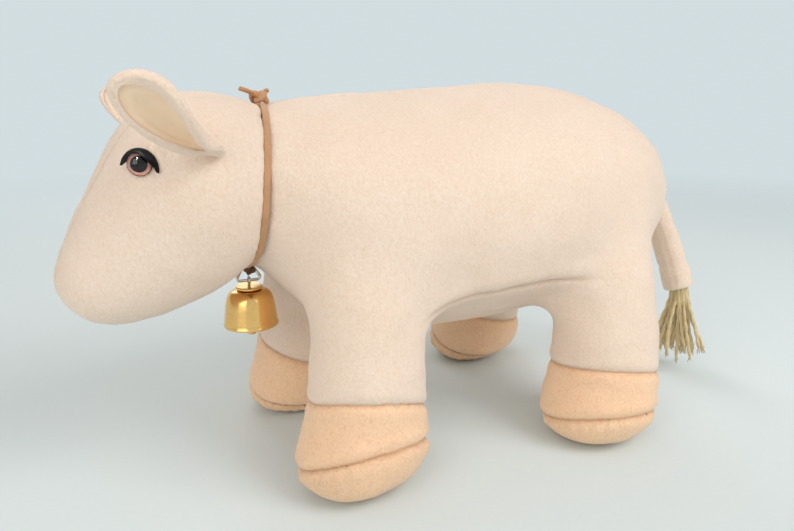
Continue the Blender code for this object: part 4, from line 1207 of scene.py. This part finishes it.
for place, size, ahead in tail_rows:
    out = Vector((1.0, 0.0, 0.0))
    out = (out - ahead * out.dot(ahead)).normalized()
    side_way = ahead.cross(out)
    for turn in turns(TAIL_STEPS):
        spoke = out * math.cos(turn) + side_way * math.sin(turn)
        ripple = TAIL_RIPPLE * noise.noise((place + spoke * size) * 120.0)
        apart = (turn - TAIL_SEAM_TURN + math.pi) % (2.0 * math.pi) - math.pi
        seam_dip = TAIL_SEAM_DEPTH * float(bell_curve(apart, TAIL_SEAM_WIDTH))
        points.append(place + spoke * max(size + min(1.0, size / 0.005) * (ripple - seam_dip), 0.0))
rings = [range(row * TAIL_STEPS, (row + 1) * TAIL_STEPS) for row in range(len(tail_rows))]
faces = stitched(rings) + [tuple(reversed(rings[-1]))]
tail_cloth = piece_of("tail_cloth", points, faces, cream_plush, "tail", "cream_plush")
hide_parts("tail")

# Tassel: a bundle of khaki cotton yarn, gathered in the tail's hem and spread below it.
# Each strand is two plies twisted together, and its cut end has come undone into a small brush.
STRANDS = 34
STRAND_STEPS = 24
STRAND_TURN = 2.399963
STRAND_SWAY = 0.0016
YARN_RADIUS = 0.0013
YARN_SIDES = 10
YARN_TWIST = 0.75
TASSEL_LENGTH = 0.047
TASSEL_TUCK = 0.004
TASSEL_NECK = 0.0052
TASSEL_FAN = 0.0135
WISPS = 5
WISP_STEPS = 4
WISP_RADIUS = 0.00034
tassel_top = Vector(joint_of["tassel_swing"]["pos_m"])
tassel_down = Vector((0.14, 0.0, -1.0)).normalized()

yarn, tree, shader = material_of("yarn")
hair = speckle(tree, 2400.0, 3.0, (1.0, 1.0, 0.25))
strand_tone = node_in(tree, "ShaderNodeAttribute", {}, attribute_name="strand")
tone = blend(tree, 0.5, hair, strand_tone.outputs["Fac"], "FLOAT")
roughen(shader, hair, 0.5, 0.0003)
dye = blend(tree, tone, (0.47, 0.36, 0.18, 1.0), (0.86, 0.71, 0.42, 1.0))
set_sockets(shader, {"Base Color": dye, "Roughness": 0.9, "Sheen Weight": 0.3, "Sheen Roughness": 0.5})

points = []
faces = []
tones = []
chance = np.random.default_rng(21)
front = Vector((1.0, 0.0, 0.0))
front = (front - tassel_down * front.dot(tassel_down)).normalized()
flank = tassel_down.cross(front)


def to_side(angle):
    """The direction across the tassel at an angle."""
    return front * math.cos(angle) + flank * math.sin(angle)


plies = []
for angle in turns(YARN_SIDES):
    size = YARN_RADIUS * (0.80 + 0.20 * math.cos(2.0 * angle))
    plies.append((size * math.cos(angle), size * math.sin(angle)))
thin = [(WISP_RADIUS * math.cos(2.1 * step), WISP_RADIUS * math.sin(2.1 * step)) for step in range(3)]
for strand in range(STRANDS):
    spread = math.sqrt((strand + 0.5) / STRANDS)
    spoke = to_side(STRAND_TURN * strand)
    reach = TASSEL_LENGTH * (0.86 + 0.16 * chance.random())
    fan = TASSEL_FAN * spread * (0.75 + 0.5 * chance.random())
    sway = (front * chance.normal() + flank * chance.normal()) * STRAND_SWAY
    twist = 2.0 * math.pi * chance.random()
    tone = chance.random()
    path = []
    for step in range(STRAND_STEPS + 1):
        share = step / STRAND_STEPS
        place = tassel_top + tassel_down * ((reach + TASSEL_TUCK) * share - TASSEL_TUCK)
        place = place + spoke * (TASSEL_NECK * spread + fan * share**1.4)
        path.append(place + sway * math.sin(share * 5.0 + twist))
    facing = [to_side(twist + step * YARN_TWIST) for step in range(STRAND_STEPS + 1)]
    tones += [tone] * add_strip(points, faces, swept(path, facing, plies, False))
    for angle in turns(WISPS):
        lean = to_side(twist + angle) * (0.0006 + 0.0012 * chance.random())
        long = 0.0025 + 0.003 * chance.random()
        wisp_path = []
        for step in range(WISP_STEPS + 1):
            share = step / WISP_STEPS
            wisp_path.append(path[-1] + lean * share + tassel_down * (long * share - 0.0006))
        tones += [tone] * add_strip(points, faces, swept(wisp_path, [front] * len(wisp_path), thin, False))
tassel = piece_of("yarn_tassel", points, faces, yarn, "tassel", "yarn")
tassel.data.attributes.new("strand", "FLOAT", "POINT").data.foreach_set("value", tones)
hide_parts("tail_tassel")
